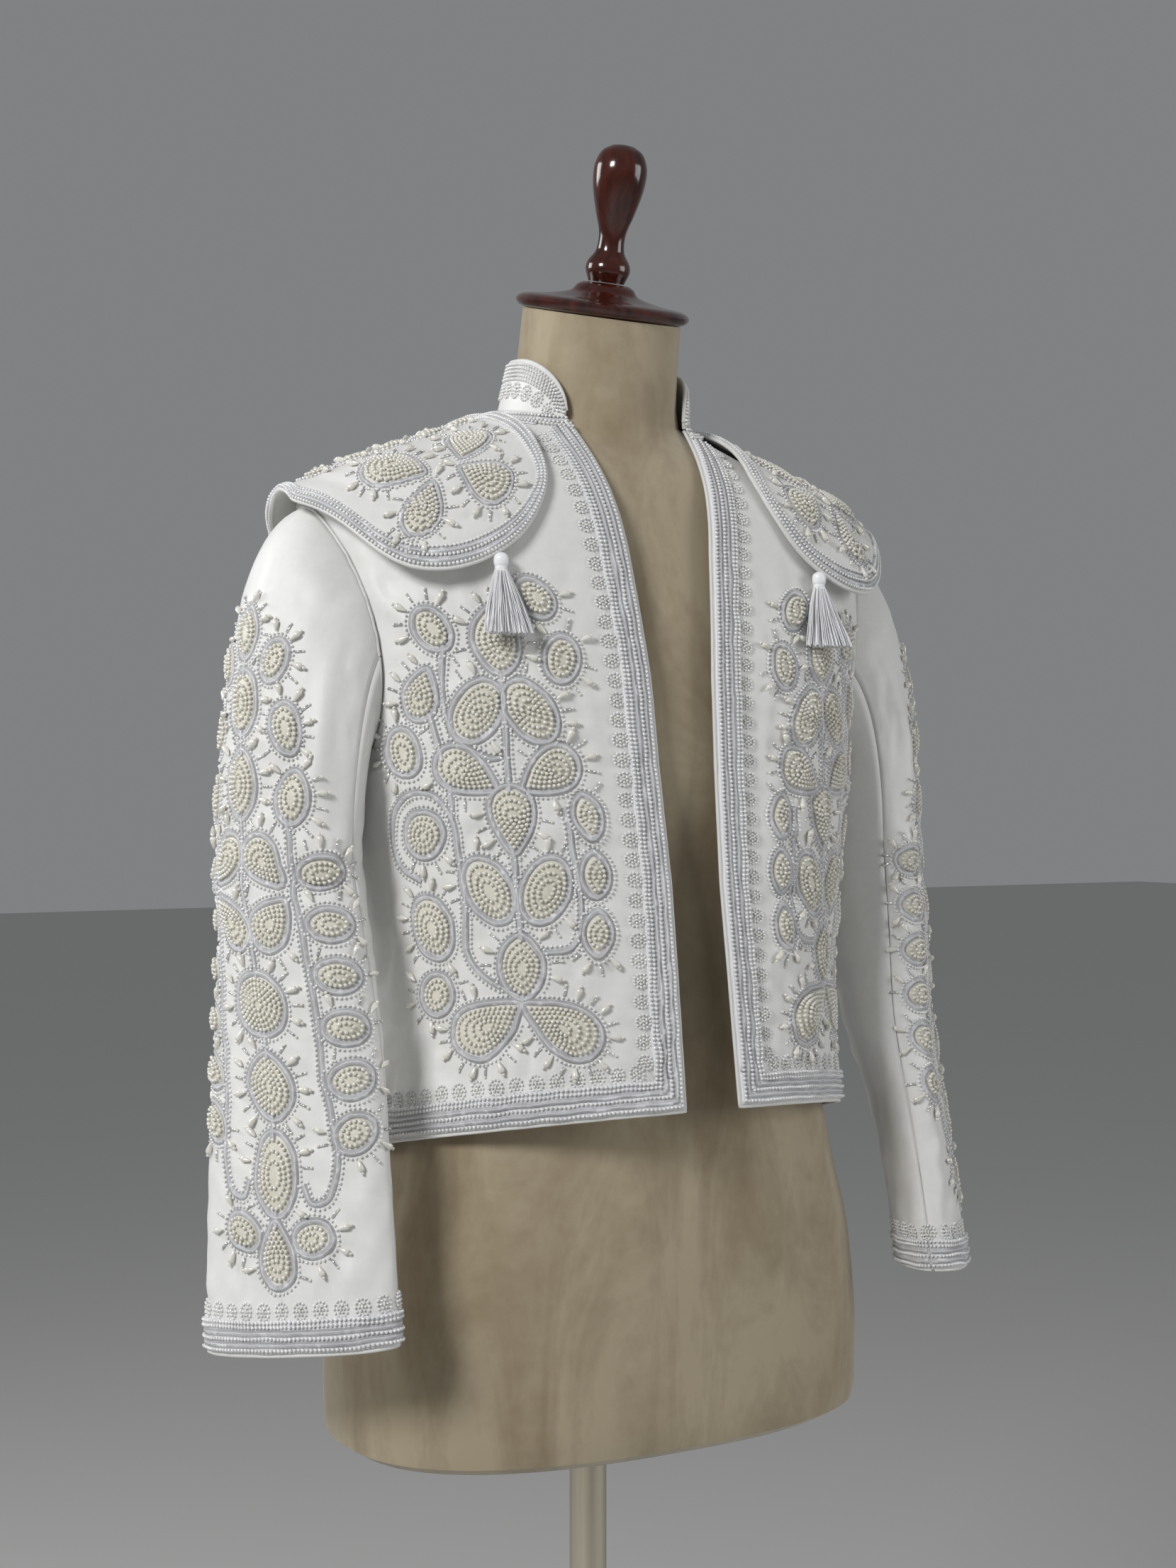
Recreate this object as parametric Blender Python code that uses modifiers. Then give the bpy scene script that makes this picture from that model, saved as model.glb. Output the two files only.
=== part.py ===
"""Matador jacket worn by a limbless dress form on a pole.

Metres, +Z up. The floor is at z = 0 and the pole stands on the Z axis. The jacket's front faces -Y,
so the wearer's right is at -X and is the mirror image of the left. Each piece of cloth is a sheet
of points on its inner side, which Solidify turns into a wall.
"""

import math
from collections import namedtuple

import bmesh
import bpy
import numpy as np

SEAM = 0.0003
MERGE = 0.00005

# Walls
CLOTH = 0.0020
COLLAR_WALL = 0.0024
WING_WALL = 0.0030
BRAID = 0.0014
FACING = 0.0010
RELIEF = 0.0022

# Widths of what is sewn on
FRONT_BAND_WIDTH = 0.034
HEM_BAND_ROWS = 3
CUFF_BAND_ROWS = 3
FACING_TOP = 1.400

# Level cuts through the body, from the hem up to the neck seam: the height at the side, how far
# the sheet reaches to the side, to the front and to the back, where it is widest, how square it
# is, and how much the cut rises towards the back, in its front half and in its back half.
Cut = namedtuple("Cut", "z half_width front back side_y power tilt back_tilt")

JACKET = (
    Cut(0.958, 0.187, 0.172, 0.134, -0.010, 2.15, -0.20, 0.00),
    Cut(1.055, 0.180, 0.162, 0.108, -0.010, 2.20, -0.05, 0.00),
    Cut(1.145, 0.189, 0.150, 0.108, -0.010, 2.30, 0.00, 0.00),
    Cut(1.222, 0.200, 0.139, 0.117, -0.008, 2.40, 0.00, 0.00),
    Cut(1.290, 0.209, 0.131, 0.123, -0.004, 2.45, 0.00, 0.00),
    Cut(1.350, 0.2195, 0.121, 0.122, 0.000, 2.40, 0.00, 0.00),
    Cut(1.398, 0.2275, 0.111, 0.114, 0.003, 2.30, 0.00, 0.00),
    Cut(1.4195, 0.2260, 0.104, 0.107, 0.004, 2.25, 0.02, 0.02),
    Cut(1.4350, 0.2030, 0.098, 0.100, 0.004, 2.20, 0.05, 0.05),
    Cut(1.4500, 0.1660, 0.0905, 0.090, 0.003, 2.15, 0.08, 0.08),
    Cut(1.4645, 0.1260, 0.083, 0.078, 0.001, 2.10, 0.12, 0.12),
    Cut(1.4780, 0.0910, 0.0755, 0.066, -0.003, 2.05, 0.15, 0.15),
    Cut(1.4860, 0.0705, 0.0735, 0.0595, -0.007, 2.00, 0.17, 0.17),
)
NECK_ROW = len(JACKET) - 1
FRONT_STEPS = (6, 4, 4, 4, 3, 2, 1, 2, 1, 1, 1, 2)
BACK_STEPS = (3, 2, 2, 2, 2, 2, 1, 2, 1, 1, 1, 1)
FRONT_COLUMNS = 10
BACK_COLUMNS = 16

# Half of the gap between the two front edges, by height
OPENING_HEIGHTS = (0.958, 1.145, 1.290, 1.380, 1.445, 1.486)
OPENING_HALF_GAPS = (0.0225, 0.0210, 0.0265, 0.0350, 0.0440, 0.0500)

ARMHOLE_BOTTOM = 1.222
ARMHOLE_TOP = 1.408
ARMHOLE_SPREAD = 22.0

# The collar's full-height band, from the neck seam to its top edge
COLLAR_BASE = Cut(1.4881, 0.0707, 0.0735, 0.0595, -0.007, 2.0, 0.17, 0.17)
COLLAR_TOP = Cut(1.5265, 0.0640, 0.0780, 0.0500, -0.014, 2.0, 0.12, 0.12)
COLLAR_ROUNDING = 0.055
COLLAR_COLUMNS = 26
COLLAR_ROWS = 3

# Cuts through the left sleeve, from where it hangs free down to its hem. The turn swings the cut's
# long side from fore and aft towards the body in front, and the rise lifts its front over its back.
Tube = namedtuple("Tube", "z centre_x centre_y half_long half_short turn rise")

SLEEVE = (
    Tube(1.160, 0.2480, -0.015, 0.0590, 0.0390, 16.0, 0.00),
    Tube(1.100, 0.2495, -0.028, 0.0620, 0.0365, 22.0, 0.00),
    Tube(1.040, 0.2520, -0.0385, 0.0665, 0.0320, 28.0, 0.02),
    Tube(0.960, 0.2594, -0.058, 0.0690, 0.0255, 33.0, 0.06),
    Tube(0.898, 0.2630, -0.070, 0.0710, 0.0245, 34.0, 0.10),
    Tube(0.840, 0.2660, -0.081, 0.0715, 0.0245, 35.0, 0.12),
)
CAP_ROWS = 8

# How the sleeve leaves its seam: its step out from the body, more under the arm, and how far its
# columns run outwards, downwards and straight down, as shares of the way to the free tube
SLEEVE_STEP = 0.0004
UNDERARM_STEP = 0.0028
LEAVE_OUT, LEAVE_OUT_UNDER = 0.62, -0.36
LEAVE_DOWN, LEAVE_DOWN_UNDER = -0.25, -0.55
ARRIVE_DOWN = -1.05

TUBE_STEPS = (3, 3, 4, 3, 4)
TOP_SLEEVE_REACH = 98.0
TOP_SLEEVE_COLUMNS = 10
UNDER_SLEEVE_COLUMNS = 5

# The left shoulder wing: a section for each step from the neck to the tip, with the place of its
# ridge and of its front edge. The back edge is the front's mirror image.
WingSection = namedtuple("WingSection", "ridge_x edge_x edge_y edge_z")

WING = (
    WingSection(0.0830, 0.0890, -0.0950, 1.4290),
    WingSection(0.1000, 0.1010, -0.1065, 1.4060),
    WingSection(0.1220, 0.1180, -0.110, 1.3840),
    WingSection(0.1450, 0.1400, -0.110, 1.3700),
    WingSection(0.1700, 0.1650, -0.107, 1.3600),
    WingSection(0.1930, 0.1880, -0.098, 1.3590),
    WingSection(0.2130, 0.2080, -0.083, 1.3700),
    WingSection(0.2290, 0.2240, -0.062, 1.3910),
    WingSection(0.2410, 0.2370, -0.038, 1.4060),
    WingSection(0.2470, 0.2450, -0.015, 1.4120),
)
WING_CENTRE_Y = 0.004
WING_CLEARANCE = 0.0006
WING_DRAPE = 0.0034
SHOULDER_END = 0.200
SHOULDER_SLOPE = 0.40
SHOULDER_ROW = 7.6
WING_COLUMNS = 12
WING_FULLNESS = 0.74

# The form's neck leans forward, and its top is cut square to that lean
NECK_TILT = 15.0
NECK_RISE = math.tan(math.radians(NECK_TILT))

# Level cuts through the dress form, from its base to its neck
FORM = (
    Cut(0.742, 0.196, 0.128, 0.110, -0.014, 2.5, 0.0, 0.0),
    Cut(0.745, 0.203, 0.135, 0.117, -0.014, 2.5, 0.0, 0.0),
    Cut(0.753, 0.2075, 0.1395, 0.1215, -0.014, 2.5, 0.0, 0.0),
    Cut(0.800, 0.2080, 0.141, 0.124, -0.014, 2.5, 0.0, 0.0),
    Cut(0.870, 0.201, 0.142, 0.123, -0.014, 2.5, 0.0, 0.0),
    Cut(0.950, 0.183, 0.138, 0.114, -0.014, 2.4, 0.0, 0.0),
    Cut(1.055, 0.168, 0.129, 0.096, -0.012, 2.3, 0.0, 0.0),
    Cut(1.145, 0.178, 0.126, 0.098, -0.010, 2.3, 0.0, 0.0),
    Cut(1.222, 0.190, 0.127, 0.110, -0.006, 2.3, 0.0, 0.0),
    Cut(1.290, 0.197, 0.121, 0.116, -0.003, 2.3, 0.0, 0.0),
    Cut(1.350, 0.203, 0.112, 0.116, 0.001, 2.2, 0.0, 0.0),
    Cut(1.398, 0.205, 0.102, 0.108, 0.003, 2.2, 0.0, 0.0),
    Cut(1.4195, 0.202, 0.097, 0.102, 0.004, 2.2, 0.02, 0.02),
    Cut(1.4350, 0.191, 0.093, 0.096, 0.004, 2.2, 0.05, 0.05),
    Cut(1.4500, 0.1630, 0.087, 0.087, 0.003, 2.15, 0.08, 0.08),
    Cut(1.4645, 0.1220, 0.0795, 0.0755, 0.001, 2.10, 0.12, 0.12),
    Cut(1.4780, 0.0868, 0.0712, 0.0635, -0.003, 2.05, 0.15, 0.15),
    Cut(1.4860, 0.0668, 0.0692, 0.0575, -0.007, 2.00, 0.17, 0.17),
    Cut(1.5000, 0.0625, 0.0700, 0.0520, -0.009, 2.00, 0.19, 0.19),
    Cut(1.5300, 0.0600, 0.0740, 0.0460, -0.014, 2.00, 0.23, 0.23),
    Cut(1.5650, 0.0590, 0.0795, 0.0385, -0.0205, 2.00, NECK_RISE, NECK_RISE),
)
FORM_STEPS = (1, 1, 1, 2, 2, 2, 2, 2, 1, 1, 1, 1, 1, 1, 1, 1, 1, 1, 1, 1)
FORM_COLUMNS = 32

POLE_RADIUS = 0.014
BASE_RADIUS = 0.200
CAP_SIDES = 20
FINIAL_SIDES = 16
BASE_SIDES = 32
POLE_SIDES = 20

# Turned profiles as radius and height, from the top down
CAP_PROFILE = ((0.0, 0.0245), (0.0170, 0.0240), (0.0215, 0.0215), (0.0260, 0.0165), (0.0420, 0.0125),
               (0.0580, 0.0105), (0.0640, 0.0080), (0.0655, 0.0050), (0.0630, 0.0015), (0.0585, 0.0),
               (0.0, 0.0))
FINIAL_PROFILE = ((0.0, 0.1000), (0.0080, 0.0989), (0.0150, 0.0945), (0.0190, 0.0863), (0.0199, 0.0780),
                  (0.0185, 0.0660), (0.0145, 0.0505), (0.0107, 0.0386), (0.0098, 0.0303),
                  (0.0110, 0.0220), (0.0155, 0.0151), (0.0168, 0.0092), (0.0150, 0.0037),
                  (0.0135, 0.0), (0.0, 0.0))
BASE_PROFILE = ((0.0, 0.0560), (0.0175, 0.0560), (0.0210, 0.0520), (0.0220, 0.0300), (0.0320, 0.0240),
                (0.1000, 0.0200), (0.1850, 0.0150), (0.1970, 0.0110), (BASE_RADIUS, 0.0060),
                (0.1980, 0.0), (0.0, 0.0))

# Raised applique, left half of the jacket: where each oval lies across its panel and how high,
# with its half length, its half width and its lean from upright in degrees
Oval = namedtuple("Oval", "across z half_length half_width lean")

FRONT_OVALS = (
    Oval(0.086, 1.052, 0.025, 0.015, 58.0),
    Oval(0.134, 1.052, 0.025, 0.015, -58.0),
    Oval(0.110, 1.088, 0.022, 0.013, 0.0),
    Oval(0.092, 1.142, 0.021, 0.013, 26.0),
    Oval(0.128, 1.142, 0.021, 0.013, -26.0),
    Oval(0.110, 1.190, 0.022, 0.014, 0.0),
    Oval(0.082, 1.222, 0.020, 0.014, 60.0),
    Oval(0.138, 1.222, 0.020, 0.014, -60.0),
    Oval(0.093, 1.262, 0.021, 0.014, -35.0),
    Oval(0.127, 1.262, 0.021, 0.014, 35.0),
    Oval(0.110, 1.310, 0.021, 0.014, 0.0),
    Oval(0.160, 1.120, 0.020, 0.013, -15.0),
    Oval(0.168, 1.175, 0.018, 0.012, 15.0),
)
SLEEVE_OVALS = (
    Oval(0.000, 0.905, 0.020, 0.012, 0.0),
    Oval(0.000, 0.955, 0.027, 0.014, 0.0),
    Oval(0.000, 1.012, 0.022, 0.018, 0.0),
    Oval(0.000, 1.068, 0.020, 0.020, 0.0),
    Oval(-0.020, 1.122, 0.020, 0.014, 45.0),
    Oval(0.020, 1.122, 0.020, 0.014, -45.0),
    Oval(-0.020, 1.162, 0.020, 0.014, -45.0),
    Oval(0.020, 1.162, 0.020, 0.014, 45.0),
    Oval(0.000, 1.215, 0.024, 0.013, 0.0),
    Oval(0.000, 1.272, 0.022, 0.013, 0.0),
    Oval(-0.036, 1.010, 0.017, 0.011, 0.0),
    Oval(0.036, 1.010, 0.017, 0.011, 0.0),
)

# Tassels
TASSEL_RING_COUNT = 4
TASSEL_HEAD_RADIUS = 0.0050
TASSEL_HEAD_HEIGHT = 0.0120
TASSEL_SKIRT = 0.0460
TASSEL_HALF_WIDTH = 0.0205
TASSEL_HALF_DEPTH = 0.0080
TASSEL_PLACE = (0.1335, -0.1125, 1.3726)
TASSEL_FORWARD = -0.0130
TASSEL_SIDES = 15


def linear_material(name, colour, roughness, metallic=0.0):
    """One plain Principled material."""
    material = bpy.data.materials.new(name)
    material.use_nodes = True
    shader = material.node_tree.nodes["Principled BSDF"]
    shader.inputs["Base Color"].default_value = (*colour, 1.0)
    shader.inputs["Roughness"].default_value = roughness
    shader.inputs["Metallic"].default_value = metallic
    return material


def clear_scene():
    """Empty the scene and return the jacket's collection."""
    for old in list(bpy.data.objects):
        bpy.data.objects.remove(old, do_unlink=True)
    collection = bpy.data.collections.new("matador_jacket")
    bpy.context.scene.collection.children.link(collection)
    return collection


class Profile:
    """A smooth stack of cuts, read at any height along the stack."""

    def __init__(self, cuts):
        self.kind = type(cuts[0])
        self.values = np.array(cuts, dtype=float)
        steps = np.diff(self.values, axis=0)
        self.slopes = np.zeros_like(self.values)
        self.slopes[0] = steps[0]
        self.slopes[-1] = steps[-1]
        before, after = steps[:-1], steps[1:]
        total = before + after
        product = before * after
        keep = product > 0.0
        self.slopes[1:-1][keep] = 2.0 * product[keep] / total[keep]

    def at(self, place):
        """The cut at a place counted in rows of the table."""
        low = int(min(max(math.floor(place), 0), len(self.values) - 2))
        f = place - low
        start, end = self.values[low], self.values[low + 1]
        rise_in, rise_out = self.slopes[low], self.slopes[low + 1]
        mixed = ((2 * f**3 - 3 * f**2 + 1) * start + (f**3 - 2 * f**2 + f) * rise_in
                 + (3 * f**2 - 2 * f**3) * end + (f**3 - f**2) * rise_out)
        return self.kind(*mixed)

    def place_of_height(self, z, low, high):
        """The place between two rows where the cut lies at a height."""
        for _ in range(40):
            middle = 0.5 * (low + high)
            if self.at(middle).z < z:
                low = middle
            else:
                high = middle
        return 0.5 * (low + high)


BODY = Profile(JACKET)
TORSO = Profile(FORM)
ARM = Profile(SLEEVE)


def on_cut(cut, turn):
    """A point of a cut. The turn is 0 at the front, 90 at the wearer's left and 180 at the back."""
    angle = math.radians(turn)
    across = math.copysign(abs(math.sin(angle)) ** (2.0 / cut.power), math.sin(angle))
    along = abs(math.cos(angle)) ** (2.0 / cut.power)
    x = cut.half_width * across
    if math.cos(angle) > 0.0:
        offset, tilt = -(cut.front + cut.side_y) * along, cut.tilt
    else:
        offset, tilt = (cut.back - cut.side_y) * along, cut.back_tilt
    return np.array((x, cut.side_y + offset, cut.z + tilt * offset))


def places(steps):
    """Row places with a number of steps between each two rows of a table."""
    result = [0.0]
    for row, count in enumerate(steps):
        result.extend(row + (k + 1) / count for k in range(count))
    return result


def resample(points, distances):
    """Points at the given distances along a polyline."""
    points = np.asarray(points)
    lengths = np.linalg.norm(np.diff(points, axis=0), axis=1)
    travelled = np.concatenate(([0.0], np.cumsum(lengths)))
    return np.column_stack([np.interp(distances, travelled, points[:, k]) for k in range(3)])


def polyline_length(points):
    return float(np.linalg.norm(np.diff(np.asarray(points), axis=0), axis=1).sum())


def cut_line(cut, turn_start, turn_end, count=90):
    return [on_cut(cut, turn) for turn in np.linspace(turn_start, turn_end, count)]


def edge_turn(cut):
    """The turn at which a cut meets the front edge."""
    half_gap = float(np.interp(cut.z, OPENING_HEIGHTS, OPENING_HALF_GAPS))
    return math.degrees(math.asin((half_gap / cut.half_width) ** (cut.power / 2.0)))


def armhole_share(z):
    """How open the armhole is at a height, from 0 at its ends to 1 halfway up."""
    middle = 0.5 * (ARMHOLE_TOP + ARMHOLE_BOTTOM)
    half = 0.5 * (ARMHOLE_TOP - ARMHOLE_BOTTOM)
    return math.sqrt(max(0.0, 1.0 - ((z - middle) / half) ** 2))


def mirrored(points):
    """The same sheet for the wearer's right, with its outer side still outside."""
    flipped = points[:, ::-1].copy()
    flipped[..., 0] *= -1.0
    return flipped


class Sheet:
    """A grid of points on the inner side of a piece, with the faces that the piece has."""

    def __init__(self, points, keep=None):
        self.points = np.array(points, dtype=float)
        self.rows, self.columns = self.points.shape[:2]
        self.keep = keep if keep is not None else (lambda row, column: True)
        self.normals = self.find_normals()

    def faces(self):
        wide = self.columns
        return [(r * wide + c, r * wide + c + 1, (r + 1) * wide + c + 1, (r + 1) * wide + c)
                for r in range(self.rows - 1) for c in range(wide - 1) if self.keep(r, c)]

    def mesh(self, name):
        mesh = bpy.data.meshes.new(name)
        mesh.from_pydata(self.points.reshape(-1, 3).tolist(), [], self.faces())
        shape = bmesh.new()
        shape.from_mesh(mesh)
        loose = [v for v in shape.verts if not v.link_faces]
        bmesh.ops.delete(shape, geom=loose, context="VERTS")
        shape.to_mesh(mesh)
        shape.free()
        mesh.update()
        return mesh

    def find_normals(self):
        """Unit normals at the points, on the side that faces out."""
        down = np.gradient(self.points, axis=0)
        across = np.gradient(self.points, axis=1)
        normals = np.cross(across, down)
        return normals / np.linalg.norm(normals, axis=2, keepdims=True)

    def moved(self, distance, keep=None):
        """The sheet whose points lie a distance out from this one's."""
        return Sheet(self.points + self.normals * distance, keep or self.keep)


def pull_in(points, axis, end, gap):
    """Draw one border of a grid back by a gap, towards the next row or column."""
    grid = points if axis == 0 else points.swapaxes(0, 1)
    border, inner = (0, 1) if end == 0 else (-1, -2)
    step = grid[inner] - grid[border]
    grid[border] += step * (gap / np.linalg.norm(step, axis=1, keepdims=True))
    return points


class Workshop:
    """Makes the objects and puts them in the collection."""

    def __init__(self, collection):
        self.collection = collection
        self.satin = linear_material("ivory_satin", (0.76, 0.75, 0.73), 0.45)
        self.braid = linear_material("beaded_braid", (0.72, 0.72, 0.80), 0.40)
        self.lining = linear_material("peach_lining", (0.66, 0.42, 0.27), 0.50)
        self.silk = linear_material("tassel_silk", (0.76, 0.74, 0.86), 0.35)
        self.suede = linear_material("taupe_suede", (0.30, 0.26, 0.18), 0.90)
        self.wood = linear_material("red_brown_wood", (0.12, 0.02, 0.01), 0.15)
        self.steel = linear_material("polished_pole", (0.70, 0.66, 0.58), 0.18, 1.0)
        self.iron = linear_material("black_base", (0.03, 0.03, 0.03), 0.45)

    def place(self, name, mesh, material):
        thing = bpy.data.objects.new(name, mesh)
        mesh.materials.append(material)
        self.collection.objects.link(thing)
        mesh.shade_smooth()
        mesh.set_sharp_from_angle(angle=math.radians(40.0))
        return thing

    def wall(self, name, sheet, thickness, material, relief=None):
        """A sheet with thickness, raised on its outer side where a relief is given."""
        thing = self.place(name, sheet.mesh(name), material)
        solid = thing.modifiers.new("wall", "SOLIDIFY")
        solid.offset = 1.0
        solid.thickness = thickness
        if relief is not None:
            solid.thickness = thickness + RELIEF
            group = thing.vertex_groups.new(name="relief")
            for index, share in enumerate(relief.reshape(-1)):
                group.add([index], float(share), "REPLACE")
            solid.vertex_group = "relief"
            solid.thickness_vertex_group = thickness / (thickness + RELIEF)
        return thing

    def turned(self, name, profile, material, location, tilt, steps):
        """A shape turned about its own upright axis."""
        mesh = bpy.data.meshes.new(name)
        points = [(radius, 0.0, height) for radius, height in profile]
        edges = [(k, k + 1) for k in range(len(points) - 1)]
        mesh.from_pydata(points, edges, [])
        thing = bpy.data.objects.new(name, mesh)
        mesh.materials.append(material)
        self.collection.objects.link(thing)
        screw = thing.modifiers.new("turn", "SCREW")
        screw.axis = "Z"
        screw.steps = steps
        screw.render_steps = steps
        screw.use_merge_vertices = True
        screw.merge_threshold = MERGE
        screw.use_smooth_shade = True
        thing.location = location
        thing.rotation_euler = (math.radians(tilt), 0.0, 0.0)
        return thing


def oval_relief(ovals, across, heights):
    """How much of the relief each point gets from the ovals around it."""
    share = np.zeros_like(across)
    for oval in ovals:
        lean = math.radians(oval.lean)
        dx = across - oval.across
        dz = heights - oval.z
        along = dz * math.cos(lean) - dx * math.sin(lean)
        beside = dx * math.cos(lean) + dz * math.sin(lean)
        reach = (along / oval.half_length) ** 2 + (beside / oval.half_width) ** 2
        share = np.maximum(share, np.clip(1.6 - reach, 0.0, 1.0))
    return share


def front_sheet():
    """The left front: its points, and how far each lies from the front edge."""
    rows, distances = [], []
    band = [0.0, FRONT_BAND_WIDTH / 2, FRONT_BAND_WIDTH]
    for place in places(FRONT_STEPS):
        cut = BODY.at(place)
        side = 90.0 - ARMHOLE_SPREAD * armhole_share(cut.z)
        line = cut_line(cut, edge_turn(cut), side)
        length = polyline_length(line) - 0.5 * SEAM
        field = np.linspace(FRONT_BAND_WIDTH, length, FRONT_COLUMNS + 1)[1:]
        distance = np.concatenate((band, field))
        rows.append(resample(line, distance))
        distances.append(distance)
    return Sheet(rows), np.array(distances)


def back_sheet():
    """The back, from the wearer's left side seam round to the right."""
    rows = []
    for place in places(BACK_STEPS):
        cut = BODY.at(place)
        side = 90.0 + ARMHOLE_SPREAD * armhole_share(cut.z)
        line = cut_line(cut, side, 180.0)
        length = polyline_length(line)
        half = resample(line, np.linspace(0.5 * SEAM, length, BACK_COLUMNS // 2 + 1))
        other = half[-2::-1] * np.array((-1.0, 1.0, 1.0))
        rows.append(np.concatenate((half, other)))
    return Sheet(rows)


def build_body(shop):
    """The back, the two fronts, and the facings and bands that are made from their points."""
    front, distance = front_sheet()
    relief = oval_relief(FRONT_OVALS, distance, front.points[..., 2])
    relief[:HEM_BAND_ROWS + 1] = 0.0
    relief[:, :3] = 0.0
    back = back_sheet()
    shop.wall("jacket_back", back, CLOTH, shop.satin)

    hem = HEM_BAND_ROWS
    band_columns = 3
    facing_rows = int((front.points[:, 0, 2] < FACING_TOP).sum())
    outside = front.moved(CLOTH + SEAM)
    front_band = pull_in(outside.points[hem:-1, :band_columns].copy(), 0, 0, SEAM)
    hem_band = outside.points[:hem + 1].copy()
    inside = front.moved(-SEAM - FACING)
    facing = inside.points[0:facing_rows:2, :band_columns].copy()
    for side, turn_round in (("left", lambda grid: grid), ("right", mirrored)):
        share = relief if side == "left" else relief[:, ::-1]
        shop.wall(f"jacket_front_{side}", Sheet(turn_round(front.points)), CLOTH, shop.satin, share)
        shop.wall(f"front_band_{side}", Sheet(turn_round(front_band)), BRAID, shop.braid)
        shop.wall(f"hem_band_{side}", Sheet(turn_round(hem_band)), BRAID, shop.braid)
        shop.wall(f"front_facing_{side}", Sheet(turn_round(facing)), FACING, shop.satin)
    back_outside = back.moved(CLOTH + SEAM)
    back_hem_rows = 2
    shop.wall("hem_band_back", Sheet(back_outside.points[:back_hem_rows + 1]), BRAID, shop.braid)


def armhole_point(angle):
    """A point of the armhole seam and the body's level outward direction there."""
    middle = 0.5 * (ARMHOLE_TOP + ARMHOLE_BOTTOM)
    half = 0.5 * (ARMHOLE_TOP - ARMHOLE_BOTTOM)
    z = middle + half * math.cos(angle)
    place = BODY.place_of_height(z, 3.0, 7.0)
    cut = BODY.at(place)
    turn = 90.0 - ARMHOLE_SPREAD * math.sin(angle)
    point = on_cut(cut, turn)
    step = 0.5
    along = on_cut(cut, turn + step) - on_cut(cut, turn - step)
    outward = np.array((-along[1], along[0], 0.0))
    outward *= math.copysign(1.0, outward[0]) / np.linalg.norm(outward)
    return point, outward


def sleeve_ring(tube, angle):
    """A point of a level cut through the sleeve: 0 is outside, 90 in front, 180 inside."""
    turn = math.radians(tube.turn)
    outward = np.array((math.cos(turn), -math.sin(turn), 0.0))
    forward = np.array((-math.sin(turn), -math.cos(turn), tube.rise))
    centre = np.array((tube.centre_x, tube.centre_y, tube.z))
    return (centre + outward * tube.half_short * math.cos(angle)
            + forward * tube.half_long * math.sin(angle))


def sleeve_column(angle):
    """The points down the left sleeve at one angle round it, from the armhole to the hem."""
    seam_point, outward = armhole_point(angle)
    under = 0.5 * (1.0 - math.cos(angle))
    start = seam_point + outward * (CLOTH + SLEEVE_STEP + UNDERARM_STEP * under)
    end = sleeve_ring(SLEEVE[0], angle)
    span = float(np.linalg.norm(end - start))
    up = np.array((0.0, 0.0, 1.0))
    leave = span * (outward * (LEAVE_OUT + LEAVE_OUT_UNDER * under)
                    + up * (LEAVE_DOWN + LEAVE_DOWN_UNDER * under))
    arrive = span * up * ARRIVE_DOWN
    column = []
    for row in range(CAP_ROWS):
        f = row / CAP_ROWS
        column.append((2 * f**3 - 3 * f**2 + 1) * start + (f**3 - 2 * f**2 + f) * leave
                      + (3 * f**2 - 2 * f**3) * end + (f**3 - f**2) * arrive)
    column.extend(sleeve_ring(ARM.at(place), angle) for place in places(TUBE_STEPS))
    return column


def sleeve_sheet(first, last, columns):
    """A stretch of the left sleeve between two angles round it, from front to back."""
    grid = [sleeve_column(math.radians(angle)) for angle in np.linspace(first, last, columns + 1)]
    points = np.array(grid).swapaxes(0, 1)[::-1]
    return Sheet(points)


def narrowed(sheet):
    """Draw both long borders of a sheet in by half a seam."""
    points = pull_in(sheet.points.copy(), 1, 0, 0.5 * SEAM)
    points = pull_in(points, 1, -1, 0.5 * SEAM)
    return Sheet(points)


def build_sleeves(shop):
    """Each sleeve is a top and an under piece, with its band and its lining inside the cuff."""
    reach = TOP_SLEEVE_REACH
    top = narrowed(sleeve_sheet(reach, -reach, TOP_SLEEVE_COLUMNS))
    under = narrowed(sleeve_sheet(-reach, reach - 360.0, UNDER_SLEEVE_COLUMNS))
    steps = np.linalg.norm(np.diff(top.points, axis=1), axis=2)
    travelled = np.concatenate((np.zeros((top.rows, 1)), np.cumsum(steps, axis=1)), axis=1)
    across = travelled - 0.5 * travelled[:, -1:]
    relief = oval_relief(SLEEVE_OVALS, across, top.points[..., 2])
    relief[:CUFF_BAND_ROWS + 1] = 0.0
    whole = Sheet(np.concatenate((top.points, under.points[:, 1:]), axis=1))
    lining = whole.moved(-SEAM - FACING).points[:CUFF_BAND_ROWS + 1:CUFF_BAND_ROWS]
    for side, turn_round in (("left", lambda grid: grid), ("right", mirrored)):
        share = relief if side == "left" else relief[:, ::-1]
        shop.wall(f"sleeve_top_{side}", Sheet(turn_round(top.points)), CLOTH, shop.satin, share)
        shop.wall(f"sleeve_under_{side}", Sheet(turn_round(under.points)), CLOTH, shop.satin)
        for part, sheet in (("top", top), ("under", under)):
            outside = sheet.moved(CLOTH + SEAM).points[:CUFF_BAND_ROWS + 1]
            band = narrowed(Sheet(turn_round(outside)))
            shop.wall(f"cuff_band_{part}_{side}", band, BRAID, shop.braid)
        shop.wall(f"cuff_lining_{side}", Sheet(turn_round(lining)), FACING, shop.lining)


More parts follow.
